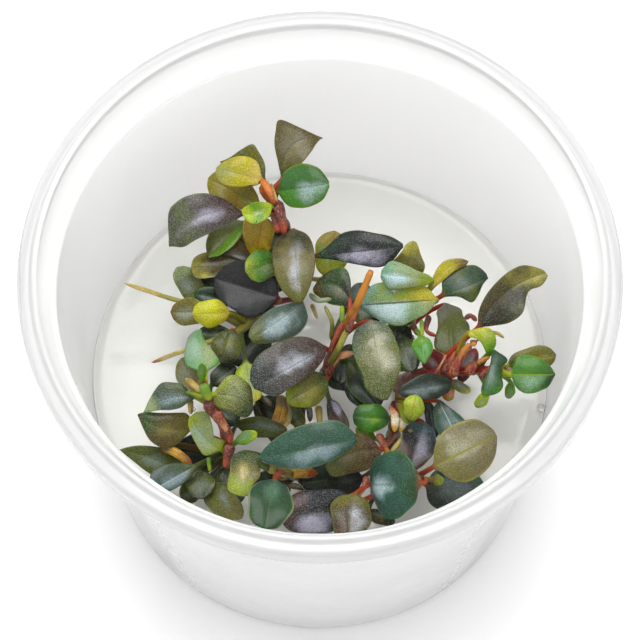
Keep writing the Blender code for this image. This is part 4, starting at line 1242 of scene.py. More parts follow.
# %% Looks
LOOKS = {
    "back_tall": Look("moss", "stone", "bark", 0.9, "gold", (0.85, 0.55, 0.1, 0.45), sheen_colour="grey",
                      edge="olive", rib="dusk", left="bark", left_amount=0.6),
    "back_green": Look("green", "green", "green", 0.1, "snow", (0.6, 0.66, -0.25, 0.45),
                       edge="grass", edge_amount=0.6, rib="forest", left="pine",
                       left_amount=0.5),
    "back_yellow": Look("gold", "wheat", "lichen", 0.1, "cream", (0.4, 0.8, 0.1, 0.4),
                        sheen_colour="sage", edge="hay", rib="meadow", stalk="orange"),
    "back_grey": Look("moss", "olive", "moss", 0.3, "snow", (0.6, 0.3, 0.0, 0.4), sheen_colour="steel"),
    "back_ochre": Look("meadow", "ochre", "meadow", 0.2, "gold", (0.2, 0.5, 0, 0.4), sheen_colour="khaki",
                       edge="khaki"),
    "back_brown": Look("plum", "purple", "moss", 0.9, "silver", (0.75, 0.5, 0.1, 0.4),
                       sheen_colour="lilac", edge="sage", rib="olive"),
    "back_hanging": Look("ochre", "ochre", "yellow", 0.1, "gold", (0.0, 0.5, 0, 0.4),
                         edge="gold", rib="rust", rib_amount=0.6),
    "left_fresh": Look("sage", "olive", "moss", 0.1, left="fresh", left_amount=0.95,
                       painted_sheen=(0.5, 0.5, -0.3, 0.4), sheen_colour="sage", edge="lime", rib="grass"),
    "left_band": Look("dusk", "bark", "khaki", 0.7, "gold", (0.5, 0.7, 0.1, 0.3), sheen_colour="grey"),
    "left_dark": Look("black", "black", "black", 0.15, "steel", (0.3, 0.35, 0.6, 0.35),
                      sheen_colour="slate", edge="dusk", rib="black", rib_amount=0.5),
    "centre_golden": Look("dusk", "stone", "moor", 0.95, "gold", (0.85, 0.6, 0.0, 0.4),
                          sheen_colour="silver", edge="olive"),
    "left_yellow": Look("wheat", "citrus", "citrus", 0.0, painted_sheen=(0.4, 0.4, 0.3, 0.4),
                        sheen_colour="lemon", left="meadow", left_amount=0.4, edge="lime", stalk="olive"),
    "left_speckled": Look("forest", "moss", "deep", 0.95, "gold", (0.4, 0.4, 0.1, 0.3), sheen_colour="khaki",
                          edge="grass"),
    "shoot_pale": Look("leafy", "sage", "green", 0.15, "mint", (0.7, 0.45, 0.45, 0.4), sheen_colour="mint",
                       rib="sage", rib_amount=0.9, edge="leafy", left="jade", left_amount=0.5,
                       stalk="lime"),
    "shoot_grey": Look("moss", "slate", "sage", 0.3, "snow", (0.7, 0.4, 0.2, 0.4), sheen_colour="steel",
                       edge="green", stalk="lime"),
    "shoot_olive": Look("olive", "bark", "forest", 0.95, "gold", (0.5, 0.4, 0, 0.4),
                        sheen_colour="khaki", edge="fresh"),
    "shoot_light": Look("grass", "sage", "grass", 0.4, painted_sheen=(0.6, 0.5, 0.4, 0.5), sheen_colour="mint",
                        edge="lime", stalk="lime"),
    "shoot_speckled": Look("grass", "moor", "forest", 0.95, "cream", (0.6, 0.4, 0.2, 0.4),
                           sheen_colour="sage", edge="grass", rib="deep", stalk="lime"),
    "front_olive": Look("forest", "olive", "grass", 0.8, "cream", (0.9, 0.55, -0.1, 0.34),
                        sheen_colour="straw", edge="lime", stalk="moss"),
    "front_low": Look("moss", "moor", "olive", 0.8, "straw", (0.5, 0.5, 0.2, 0.4), edge="grass",
                      stalk="moss"),
    "front_blue": Look("moss", "slate", "navy", 0.2, "silver", (0.9, 0.5, 0.35, 0.5), sheen_colour="steel",
                       rib="mist", rib_amount=0.9, edge="moss", stalk="moss"),
    "front_point": Look("moss", "moss", "moss", 0.4, "gold", edge="olive", stalk="moss"),
    "front_round": Look("pine", "forest", "forest", 0.3, "jade", (0.4, 0.25, 0, 0.35), sheen_colour="jade",
                        edge="sage", edge_amount=0.9),
    "front_purple": Look("black", "night", "plum", 0.8, "silver", (0.95, 0.55, 0.6, 0.4),
                         sheen_colour="lilac", edge="dusk"),
    "front_mauve": Look("olive", "purple", "plum", 0.8, "straw", (0.7, 0.45, 0.2, 0.4),
                        sheen_colour="silver", edge="grass"),
    "mid_mauve": Look("plum", "bark", "moss", 0.8, "straw", (0.5, 0.6, 0.2, 0.3), sheen_colour="grey",
                      edge="olive"),
    "long_teal": Look("teal", "teal", "teal", 0.35, "mint", (0.85, 0.5, -0.4, 0.38), sheen_colour="steel",
                      rib="moss", left="forest", left_amount=0.3, edge="sage", stalk="moss"),
    "big_grey": Look("plum", "purple", "dusk", 0.75, "silver", (0.9, 0.48, -0.05, 0.35),
                     sheen_colour="silver", edge="olive", rib="dusk"),
    "under_green": Look("forest", "olive", "grass", 0.7, "straw", (0.5, 0.5, 0.2, 0.4),
                        sheen_colour="khaki", edge="grass"),
    "blue_grey": Look("slate", "slate", "moor", 0.5, "mist", (1.0, 0.5, 0.1, 0.5), sheen_colour="mist",
                      edge="sage"),
    "curled_dark": Look("dusk", "forest", "bark", 0.4, "straw", (0.6, 0.35, 0.4, 0.35),
                        sheen_colour="grey", edge="grass"),
    "long_blue": Look("forest", "night", "dusk", 0.3, "silver", (0.8, 0.5, -0.4, 0.42),
                      sheen_colour="lilac", rib="black", rib_amount=0.7, edge="moss"),
    "back_olive": Look("moss", "olive", "khaki", 0.9, "gold", (0.3, 0.6, 0, 0.3), sheen_colour="grey"),
    "pale_blue": Look("grass", "sage", "jade", 0.1, "cream", (1.0, 0.7, 0.2, 0.42), sheen_colour="ice",
                      edge="mint", rib="jade", stalk="grass"),
    "right_green": Look("forest", "moor", "pine", 0.3, "steel", (0.6, 0.5, 0.3, 0.4), sheen_colour="steel",
                        edge="leafy", edge_amount=0.5),
    "right_brown": Look("black", "dusk", "khaki", 0.6, "gold", (0.2, 0.4, 0, 0.3), sheen_colour="brown",
                        left="bark", left_amount=0.5, edge="olive", edge_amount=0.6),
    "big_yellow": Look("hay", "grass", "sea", 0.5, "lemon", (0.95, 0.6, 0.35, 0.42),
                       sheen_colour="ice", left="sea", left_amount=0.55, rib="deep", rib_amount=0.8,
                       edge="grass", stalk="ochre"),
    "right_grey": Look("grey", "moss", "moss", 0.7, "gold", (0.35, 0.15, 0, 0.3), sheen_colour="grey",
                       edge="olive"),
    "centre_olive": Look("slate", "moor", "moss", 0.8, "cream", (0.75, 0.42, 0.1, 0.48),
                         sheen_colour="ash", edge="leafy"),
    "sprig_end": Look("green", "green", "forest", 0.05, left="green", left_amount=0.35,
                      painted_sheen=(0.65, 0.45, -0.45, 0.4), sheen_colour="mint", rib="grass", rib_amount=0.8,
                      edge="fresh", edge_amount=0.6, stalk="lime"),
    "sprig_dark": Look("forest", "forest", "green", 0.3, "jade", edge="green", stalk="green"),
    "sprig_curl": Look("hay", "grass", "fresh", 0.1, "lemon", (0.5, 0.3, 0.2, 0.4), sheen_colour="lime",
                       edge="lime", stalk="ochre"),
    "right_long": Look("deep", "dusk", "deep", 0.2, "jade", rib="moss", edge="deep"),
    "low_olive": Look("olive", "stone", "stone", 0.7, "straw", (0.55, 0.5, 0.3, 0.45),
                      sheen_colour="ash", rib="meadow", rib_amount=0.9, edge="khaki", edge_amount=0.6),
    "low_teal": Look("forest", "teal", "teal", 0.35, "mint", (0.9, 0.6, 0.0, 0.36), sheen_colour="ice",
                     edge="leafy"),
    "low_green": Look("deep", "deep", "teal", 0.2, edge="green"),
    "low_blue": Look("navy", "night", "plum", 0.2, "silver", (0.6, 0.5, 0.2, 0.4), sheen_colour="lilac"),
    "low_slate": Look("slate", "teal", "slate", 0.1, rib="mist", rib_amount=0.8),
    "small_green": Look("forest", "green", "forest", 0.05, "lime", (0.5, 0.4, 0.2, 0.25),
                        sheen_colour="lime", edge="fresh", edge_amount=0.8),
}
print(len(LOOKS), "looks for the grown leaves")

# %% [markdown]
# ## Making the grown leaves
#
# Every grown leaf is a piece of its own and stands for one solid. Its material is its own.

# %% Make the grown leaves
leaf_faces = 0
for leaf in LEAVES:
    piece = leaf_piece(leaf)
    piece.name = "leaf_" + leaf.name + "_fine"
    piece.data.materials.append(leaf_material("skin_" + leaf.name, LOOKS[leaf.name]))
    settle(piece, "leaf_" + leaf.tone, "leaf_" + leaf.name)
    leaf_faces += len(piece.data.polygons)
print("The grown leaves have", leaf_faces, "faces")

# %% [markdown]
# ## The skin of a stem
#
# Young stems are orange or red and go brown towards the gel. The skin is streaked along its
# length. The stem's own map gives along and around. Plain coordinates would run the streaks
# straight up through a stem that leans.


# %% Stem skin
STEM_CLOUD = 500.0
CLOUD_SHIFT = 0.5
TURN_WIDTH = 0.2
FIBRES_ALONG, FIBRES_AROUND = 6.0, 14.0
FIBRE_SCALE = 2.0
STREAK_FROM, STREAK_TO = 0.45, 0.7
STREAK_SHARE = 0.6
STEM_ROUGHNESS, FIBRE_ROUGHNESS = 0.3, 0.3
STEM_RELIEF = 0.2
STEM_COAT = 0.2


def make_stem_skin():
    """The group that stems and twigs wear."""
    tree, entry, out = new_group(
        "Stem skin", {"Low": "Color", "High": "Color", "Streak": "Color", "Turn": "Float"},
        {"Color": "Color", "Roughness": "Float", "Height": "Float"})
    given = entry.outputs
    along, around = map_of(tree)
    cloud = noise_of(tree, place_of(tree), STEM_CLOUD)
    shifted = sum_of(tree, "ADD", along, scaled(tree, cloud, CLOUD_SHIFT, -CLOUD_SHIFT / 2))
    turn = ramp_of(tree, shifted, sum_of(tree, "SUBTRACT", given["Turn"], TURN_WIDTH),
                   sum_of(tree, "ADD", given["Turn"], TURN_WIDTH))
    colour = blend_of(tree, turn, given["Low"], given["High"])
    stretched = add_node(tree, "ShaderNodeCombineXYZ", {
        "X": times(tree, along, FIBRES_ALONG), "Y": times(tree, around, FIBRES_AROUND),
        "Z": cloud}).outputs[0]
    fibre = noise_of(tree, stretched, FIBRE_SCALE)
    streak = ramp_of(tree, fibre, STREAK_FROM, STREAK_TO)
    colour = blend_of(tree, times(tree, streak, STREAK_SHARE), colour, given["Streak"])
    tree.links.new(colour, out.inputs["Color"])
    tree.links.new(scaled(tree, fibre, FIBRE_ROUGHNESS, STEM_ROUGHNESS), out.inputs["Roughness"])
    tree.links.new(fibre, out.inputs["Height"])
    return tree


STEM_SKIN = make_stem_skin()


def stem_material(name, low, high, streak, turn):
    """The stem skin with its colours below and above the place where it turns."""
    material, shader = material_from(
        name, STEM_SKIN, {"Low": COLOURS[low], "High": COLOURS[high],
                          "Streak": COLOURS[streak], "Turn": turn}, STEM_RELIEF)
    shader.inputs["Coat Weight"].default_value = STEM_COAT
    return material


print("A stem's skin has", len(STEM_SKIN.nodes), "nodes")

# %% [markdown]
# ## Tubes
#
# A stem is a grid rolled round its line. Its two long edges are merged, and both ends are filled,
# so that it is closed. A curve with a round bevel would be quicker, but its radius could not
# change with the place around it, as it does where a stalk is crumpled.

# %% Tubes
SEAM_MERGE = 0.000001
NEARLY_ALONG_X = 0.8


def tube_piece(name, line, radius_at, sides, rows):
    """A grid rolled round a line, closed along its seam and at both ends."""
    length = sum((b - a).length for a, b in zip(line, line[1:]))

    def place(along, across):
        point, ahead = line_point(line, along)
        first = Vector((1, 0, 0)) if abs(ahead.x) < NEARLY_ALONG_X else Vector((0, 1, 0))
        first = (first - ahead * first.dot(ahead)).normalized()
        turn = math.pi * across
        ring = first * math.cos(turn) + ahead.cross(first) * math.sin(turn)
        return point + ring * radius_at(along, along * length, turn)

    piece = laid_grid(name, rows, sides, place)
    bpy.ops.object.mode_set(mode="EDIT")
    bpy.ops.mesh.select_all(action="SELECT")
    bpy.ops.mesh.remove_doubles(threshold=SEAM_MERGE)
    bpy.ops.mesh.select_all(action="DESELECT")
    bpy.ops.mesh.select_non_manifold()
    bpy.ops.mesh.edge_face_add()
    bpy.ops.mesh.select_all(action="SELECT")
    bpy.ops.mesh.fill_holes(sides=0)
    bpy.ops.mesh.normals_make_consistent(inside=False)
    bpy.ops.object.mode_set(mode="OBJECT")
    bpy.ops.object.shade_smooth()
    return piece


# %% [markdown]
# ## Small leaves
#
# Thirty-five leaves are too small for nodes of their own. In the solids each is one body with
# its stem, so here each is joined to its stem and keeps its own finish.

# %% Small leaves
SMALL_LEAVES = [
    Leaf("left_round", "green", "stem_back", 0.3, (-7, 11.8, 48), (-12.6, 8.9, 50), 5.4, cup=0.2),
    Leaf("small_curl", "dark", "stem_back", 0.9, (-8.2, 17.6, 57), (-13.2, 16.8, 56), 3.6,
         swing=0.12, cup=-0.3),
    Leaf("left_shadow", "brown", "stem_back", 0.38, (-10.5, 14.5, 42), (-14, 18, 45), 5),
    Leaf("left_grey", "olive", "stem_left", 0.85, (-20, 8, 40), (-24.5, 13, 43), 4.4, cup=-0.1),
    Leaf("left_brown", "brown", "stem_left", 0.9, (-19, 5.5, 41), (-25.5, 5.5, 41), 4.8),
    Leaf("left_deep", "dark", "stem_left", 0.7, (-15, 7.5, 41), (-21.5, 8.5, 42), 3.4),
    Leaf("left_lime", "yellow", "stem_left", 0.95, (-12.5, -5.5, 44), (-11.5, -12.5, 43), 5,
         cup=0.1),
    Leaf("twig_upper", "olive", "stem_left", 0.8, (-25.5, 8.5, 40), (-33.5, 10.5, 42), 0.8),
    Leaf("twig_lower", "olive", "stem_left", 0.97, (-22.5, -2, 42), (-28.5, -4.5, 42), 0.8),
    Leaf("shoot_brown", "brown", "stem_shoot", 0.8, (-20, -11.5, 46), (-23.5, -4.5, 44), 4.8),
    Leaf("new_shoot", "yellow", "stem_shoot", 0.98, (-19.5, -13.5, 55), (-19.5, -12.5, 59), 1.6),
    Leaf("yellow_sheath", "yellow", "stem_shoot", 0.9, (-20, -14, 51), (-22.5, -11.5, 51), 2.6),
    Leaf("low_dark", "dark", "stem_shoot", 0.35, (-14, -15, 40), (-5.5, -17, 42), 3.8, lean=20),
    Leaf("front_small", "green", "stem_shoot", 0.3, (-14, -20, 44), (-10.5, -19, 45.5), 2.2),
    Leaf("front_lime", "yellow", "stem_shoot", 0.1, (-20, -23.5, 34), (-23.5, -26.5, 35.5), 4),
    Leaf("mid_black", "dark", "stem_front_right", 0.3, (7, -25, 40), (1, -27, 43), 5),
    Leaf("lime_tip", "yellow", "stem_front_right", 0.35, (9, -18.5, 42), (6, -17.5, 44), 2.4),
    Leaf("dark_fold", "dark", "stem_front_right", 0.6, (18, -12, 43), (19.5, -18, 41), 2.2),
    Leaf("small_lime", "yellow", "stem_front_right", 0.95, (15, -19, 50), (16, -15, 52), 3.6,
         rise=0.15, cup=0.2, heel_taper=0.6),
    Leaf("dark_under", "dark", "stem_centre", 0.25, (5, -5, 44), (10, -14, 45), 5.4),
    Leaf("slate_fold", "blue", "stem_centre", 0.3, (1.6, -10.6, 40), (4.4, -17.9, 42), 3),
    Leaf("black_under", "dark", "stem_centre", 0.4, (5.5, -1.5, 42), (3.5, -8, 41), 4.6),
    Leaf("back_slate", "blue", "stem_centre", 0.45, (4.5, 5, 44), (8.5, 8.5, 45), 4),
    Leaf("mid_yellow", "yellow", "stem_back", 0.25, (1.5, 12.5, 40), (2.5, 20, 43), 6),
    Leaf("sprig_back", "olive", "stem_right", 0.97, (31.5, -8.7, 50), (39.5, -7.2, 51), 4.6,
         cup=0.1),
    Leaf("sprig_point", "yellow", "stem_right", 0.85, (28, -13.5, 49), (26, -15, 47), 2),
    Leaf("sprig_small", "green", "stem_right", 0.95, (32, -11.5, 49), (31.5, -13.5, 47), 1.8),
    Leaf("olive_tip", "olive", "stem_right", 0.62, (21.6, -10.2, 47), (25.3, -11.8, 46), 1.8),
    Leaf("right_heart", "green", "stem_back_right", 0.6, (17, -3.5, 50), (17.5, -8.5, 50), 3.5,
         rise=0.05, cup=0.1, heel_taper=0.4, tip_taper=0.8),
    Leaf("right_shadow", "dark", "stem_back_right", 0.5, (15.5, 0, 42), (11, 1.5, 43), 4),
    Leaf("right_olive", "olive", "stem_back_right", 0.35, (15.5, -2, 42), (13, -5.5, 41), 3.4),
    Leaf("yellow_curl", "yellow", "stem_back_right", 0.7, (19, 5.8, 50.5), (25, 9.5, 52.5), 2.4,
         swing=0.15),
    Leaf("mid_olive", "olive", "stem_front", 0.15, (-3, -14.5, 38), (-5.5, -11, 40), 3),
    Leaf("low_stub", "yellow", "stem_low_right", 0.85, (18.6, -29.3, 49.5), (20.4, -29.8, 50.5),
         1.8),
    Leaf("front_strip", "dark", "stem_low_right", 0.3, (8, -31.5, 41), (12.5, -33.8, 42), 2.6),
]
print(len(SMALL_LEAVES), "small leaves")

# %% [markdown]
# ## Sheaths, husks and dark leaves behind
#
# Old leaves leave dry husks and sheaths round the stems, too small for the solids. They are laid
# like leaves: a husk is a narrow one, rolled up and crumpled. The leaves named fill_ lie in the
# dark behind the others, and their outlines are made up. They are near black: dark leaves that
# partly stand as painted shade in the depth of the clump. In a real clump one never sees through to
# a bare middle.


# %% Sheaths and husks
def husk(name, tone, stem, at, heel, tip, width):
    """A dry sheath, bowed, rolled up and crumpled."""
    return Leaf(name, tone, stem, at, heel, tip, width, rise=0.12, swing=0.1, cup=0.5,
                wave=0.3, turns=3.5, fold=0.4)


SHEATHS = [
    Leaf("bud_amber", "amber", "stem_right", 0.64, (21.5, -10.5, 46), (21.6, -13, 45), 2.2,
         cup=0.5),
    Leaf("bud_yellow", "amber", "stem_right", 0.97, (31.2, -9.6, 51), (32, -11.6, 51.5), 1.8,
         cup=0.5),
    Leaf("scale_dark", "black", "stem_back", 0.7, (-10.8, 19.5, 52), (-11.6, 16.7, 52), 2.4,
         cup=0.2),
    husk("husk_left", "dry", "stem_shoot", 0.35, (-26.7, -20.3, 42), (-21.4, -23.1, 41), 1.6),
    husk("husk_gold", "dry", "stem_front", 0.3, (-6.6, -10.0, 40.5), (-8.4, -17.2, 40), 2.4),
    husk("husk_ribbed", "gold", "stem_front", 0.3, (-5.7, -11.0, 40.2), (-6.7, -16.2, 39.5), 1.8),
    husk("husk_brown", "bark", "stem_front", 0.3, (-10.5, -10.2, 41), (-7.8, -12.6, 40.5), 1.0),
    husk("husk_dark", "bark", "stem_front", 0.3, (-2.4, -11.0, 39.5), (-1.7, -14.1, 39), 1.1),
    husk("husk_fold", "dry", "stem_front", 0.3, (-7.4, -25.7, 42), (-0.3, -24.6, 41), 2.2),
    husk("husk_under", "bark", "stem_front", 0.3, (-6.0, -26.7, 41), (-2.7, -27.5, 41), 1.1),
    husk("husk_film", "pale", "stem_front_right", 0.7, (11.9, -14.7, 46), (12.4, -19.1, 46), 1.5),
    husk("husk_shred", "pale", "stem_front_right", 0.7, (13.7, -15.1, 46), (13.4, -18.9, 45.5),
         1.3),
    husk("husk_wine", "red", "stem_front_right", 0.7, (12.4, -13.4, 45.5), (13.7, -15.6, 45.5),
         1.6),
    husk("husk_amber", "dry", "stem_low_right", 0.8, (15.8, -29.3, 52), (16.0, -32.0, 51.5), 1.7),
    # The fill_ leaves are near black: dark leaves that partly stand as painted shade deep in the
    # clump.
    Leaf("fill_olive", "moss", "stem_shoot", 0.8, (-18.2, -8.9, 43), (-14.2, -5.6, 43), 4),
    Leaf("fill_side", "moss", "stem_shoot", 0.7, (-17.5, -12.2, 42), (-13.8, -15.8, 42), 4),
    Leaf("fill_step", "wine", "stem_right", 0.5, (23.5, -9.9, 46), (26.3, -3.6, 46), 2.6),
    Leaf("fill_base", "moss", "stem_shoot", 0.3, (-16.5, -22.5, 38), (-13.7, -28.9, 38), 5),
    Leaf("fill_hollow", "moss", "stem_shoot", 0.3, (-20.5, -23.4, 40), (-19.6, -28.7, 40), 5),
    Leaf("fill_plum", "plum", "stem_back", 0.36, (-11.6, 14.2, 44), (-17.2, 15.8, 44), 5),
    Leaf("fill_deep", "moss", "stem_back", 0.36, (-9.2, 13.8, 45), (-6.7, 18.3, 45), 4),
    Leaf("fill_gap", "black", "stem_left", 0.7, (-17.7, 9.0, 41.5), (-20.0, 12.2, 41.5), 4),
    Leaf("fill_under", "moss", "stem_left", 0.8, (-15.3, 1.0, 42), (-20.7, 1.2, 42), 3),
    Leaf("fill_dry", "black", "stem_front", 0.3, (-10.8, -10.0, 38), (-4.7, -13.0, 38), 5),
    Leaf("fill_shade", "moss", "stem_centre", 0.5, (5.1, 4.6, 46), (10.3, 1.6, 46), 4.5),
    Leaf("fill_fold", "moss", "stem_back_right", 0.5, (13.5, -1.3, 45), (15.6, -7.6, 45), 4.5),
    Leaf("fill_centre", "black", "stem_centre", 0.3, (0.7, -4.9, 40), (7.1, -7.5, 40), 5),
    Leaf("fill_slope", "black", "stem_centre", 0.3, (4.2, -7.3, 41), (8.1, -12.5, 41), 3),
    Leaf("sheath_wine", "wine", "stem_right", 0.42, (20.8, -7.9, 46.5), (17.5, -3.9, 45), 4),
    Leaf("fill_left", "black", "stem_left", 0.5, (-9, 5, 36), (-15.5, -1.5, 36), 7),
    Leaf("fill_shoot", "black", "stem_shoot", 0.25, (-17.5, -19, 35), (-24.5, -18, 36), 7),
    Leaf("fill_front", "black", "stem_front", 0.3, (-5, -24, 37), (-12, -27, 37), 6),
    Leaf("fill_middle", "black", "stem_front", 0.35, (-3, -24.5, 37), (4.5, -23.5, 37), 7),
    Leaf("fill_right", "black", "stem_right", 0.3, (16, -7, 38), (22, -5.5, 39), 6),
    Leaf("fill_low", "black", "stem_low_right", 0.35, (15.5, -24, 37), (8.5, -26.5, 37), 6),
    Leaf("fill_back", "black", "stem_back", 0.3, (-6, 16, 38), (-12.5, 11, 38), 7),
]
print(len(SHEATHS), "sheaths, husks and dark leaves")

# %% [markdown]
# ## Looks of the small leaves
#
# The small leaves that show well have looks of their own, as the grown ones have.

# %% Looks of the small leaves
SMALL_LOOKS = {
    "left_round": Look("moss", "green", "grass", 0.3, "snow", (0.6, 0.4, 0.3, 0.4),
                       sheen_colour="sage", edge="lime"),
    "small_curl": Look("lime", "fresh", "lime", 0.0, painted_sheen=(0.7, 0.5, 0.0, 0.3), sheen_colour="cream",
                       edge="lime", stalk="fresh"),
    "left_shadow": Look("ochre", "brown", "ochre", 0.3, "gold", stalk="brown"),
    "left_grey": Look("sage", "moor", "sage", 0.4, "straw", edge="grass", stalk="olive"),
    "left_brown": Look("khaki", "olive", "brown", 0.7, "straw", edge="khaki", stalk="olive"),
    "left_deep": Look("forest", "deep", "forest", 0.2, "lime", edge="fresh", stalk="moss"),
    "left_lime": Look("lime", "lime", "lemon", 0.1, "cream", edge="lemon", stalk="moss"),
    "twig_upper": Look("khaki", "gold", "gold", 0.0, edge="khaki", rib_amount=0.0,
                       stalk="khaki"),
    "twig_lower": Look("khaki", "gold", "clay", 0.0, edge="khaki", rib_amount=0.0,
                       stalk="khaki"),
    "shoot_brown": Look("grey", "olive", "olive", 0.7, "straw", edge="grass", stalk="olive"),
    "new_shoot": Look("fresh", "fresh", "fresh", 0.0, edge="lime", stalk="fresh"),
    "yellow_sheath": Look("citrus", "amber", "gold", 0.0, edge="cream", stalk="lime"),
    "low_dark": Look("moss", "moss", "bark", 0.3, "gold", edge="olive", stalk="moss"),
    "front_small": Look("fresh", "fresh", "lime", 0.0, edge="lime", stalk="fresh"),
    "front_lime": Look("dusk", "moss", "moss", 0.2, edge="lime", stalk="moss"),
    "mid_black": Look("black", "black", "dusk", 0.2, "brown", (0.1, 0.5, 0, 0.3),
                      edge="dusk", stalk="bark"),
    "lime_tip": Look("fresh", "lime", "fresh", 0.0, edge="lime", stalk="fresh"),
    "small_lime": Look("moss", "grass", "lime", 0.2, "lemon", (0.4, 0.7, 0.3, 0.3),
                       sheen_colour="lemon", edge="lime", rib="moss", stalk="grass"),
    "dark_under": Look("moss", "deep", "forest", 0.2, "sage", (0.3, 0.4, 0.5, 0.3),
                       edge="fresh", stalk="moss"),
    "slate_fold": Look("dusk", "plum", "slate", 0.2, "silver", (0.6, 0.3, 0.4, 0.4), sheen_colour="lilac",
                       edge="dusk", rib="dusk", stalk="moss"),
    "back_slate": Look("steel", "slate", "moor", 0.3, "silver", edge="sage", stalk="moss"),
    "mid_yellow": Look("ochre", "grass", "ochre", 0.3, "gold", edge="gold", stalk="khaki"),
    "sprig_back": Look("forest", "olive", "moss", 0.9, "yellow", (0.4, 0.7, 0, 0.3),
                       sheen_colour="gold", edge="khaki", stalk="grass"),
    "sprig_point": Look("lime", "lime", "fresh", 0.0, edge="lime", stalk="fresh"),
    "sprig_small": Look("fresh", "fresh", "sage", 0.0, edge="lime", stalk="fresh"),
    "olive_tip": Look("olive", "moss", "khaki", 0.3, "straw", edge="khaki", stalk="clay"),
    "right_heart": Look("fresh", "leafy", "green", 0.1, "lime", (0.5, 0.4, 0.3, 0.3),
                        sheen_colour="mint", edge="lime", rib="lime", stalk="fresh"),
    "right_shadow": Look("deep", "dusk", "moss", 0.4, "sage", edge="olive", stalk="moss"),
    "right_olive": Look("forest", "moss", "grass", 0.5, "straw", edge="khaki", stalk="moss"),
    "yellow_curl": Look("ochre", "wheat", "brown", 0.2, "cream", (0.5, 0.5, 0.2, 0.35),
                        sheen_colour="hay", edge="gold", stalk="ochre"),
    "low_stub": Look("ochre", "lime", "lime", 0.0, edge="lemon", stalk="ochre"),
    "front_strip": Look("dusk", "bark", "dusk", 0.4, "straw", edge="bark", stalk="bark"),
}
print(len(SMALL_LOOKS), "looks for the small leaves")

# %% [markdown]
# ## Looks by tone
#
# What is too small or too dark for a look of its own takes one by its tone.

# %% Looks by tone
TONE_LOOKS = {
    "dry": Look("brown", "tan", "clay", 0.3, "cream", (0.4, 0.6, 0, 0.4), sheen_colour="straw",
                edge="straw", edge_amount=0.7, rib="bark", rib_amount=0.8, stalk="brown"),
    "gold": Look("ochre", "gold", "straw", 0.2, "cream", edge="cream", rib="clay", stalk="clay"),
    "bark": Look("bark", "brown", "black", 0.3, "gold", edge="tan", rib="black", stalk="bark"),
    "pale": Look("blush", "cream", "tan", 0.2, "snow", (0.7, 0.5, 0.2, 0.3), sheen_colour="snow",
                 edge="snow", rib="clay", rib_amount=0.6, stalk="blush"),
    "red": Look("wine", "rust", "red", 0.1, edge="blush", edge_amount=0.8, rib_amount=0.0),
    "plum": Look("plum", "brown", "plum", 0.4, "gold", edge="khaki", stalk="brown"),
    "moss": Look("dusk", "moss", "dusk", 0.3, edge="olive", stalk="moss"),
    "wine": Look("wine", "wine", "red", 0.0, edge="pink", edge_amount=0.5, rib_amount=0.0),
    "amber": Look("ochre", "orange", "ochre", 0.0, edge="yellow", stalk="ochre"),
    # The black look dresses the fill_ leaves, which partly stand as painted shade.
    "black": Look("black", "dusk", "black", 0.1, painted_sheen=(0.0, 0.5, 0, 0.4), edge="moss",
                  edge_amount=0.2, stalk="bark"),
    "olive": Look("olive", "moss", "olive", 0.3, stalk="olive"),
    "dark": Look("dusk", "deep", "dusk", 0.2, stalk="moss"),
}
print(len(TONE_LOOKS), "looks by tone")

# %% [markdown]
# ## Thin stalks, scales and sheath ribs
#
# What is thin and long is a tube. Each has a look, its line, and its radius at both ends, and
# they are listed under the stem that carries them.

# %% Twigs
@dataclass(frozen=True)
class Twig:
    """A thin stalk, scale or rib: its line, and its radius at the start and at the end."""
    name: str
    look: str
    points: tuple
    first: float
    last: float


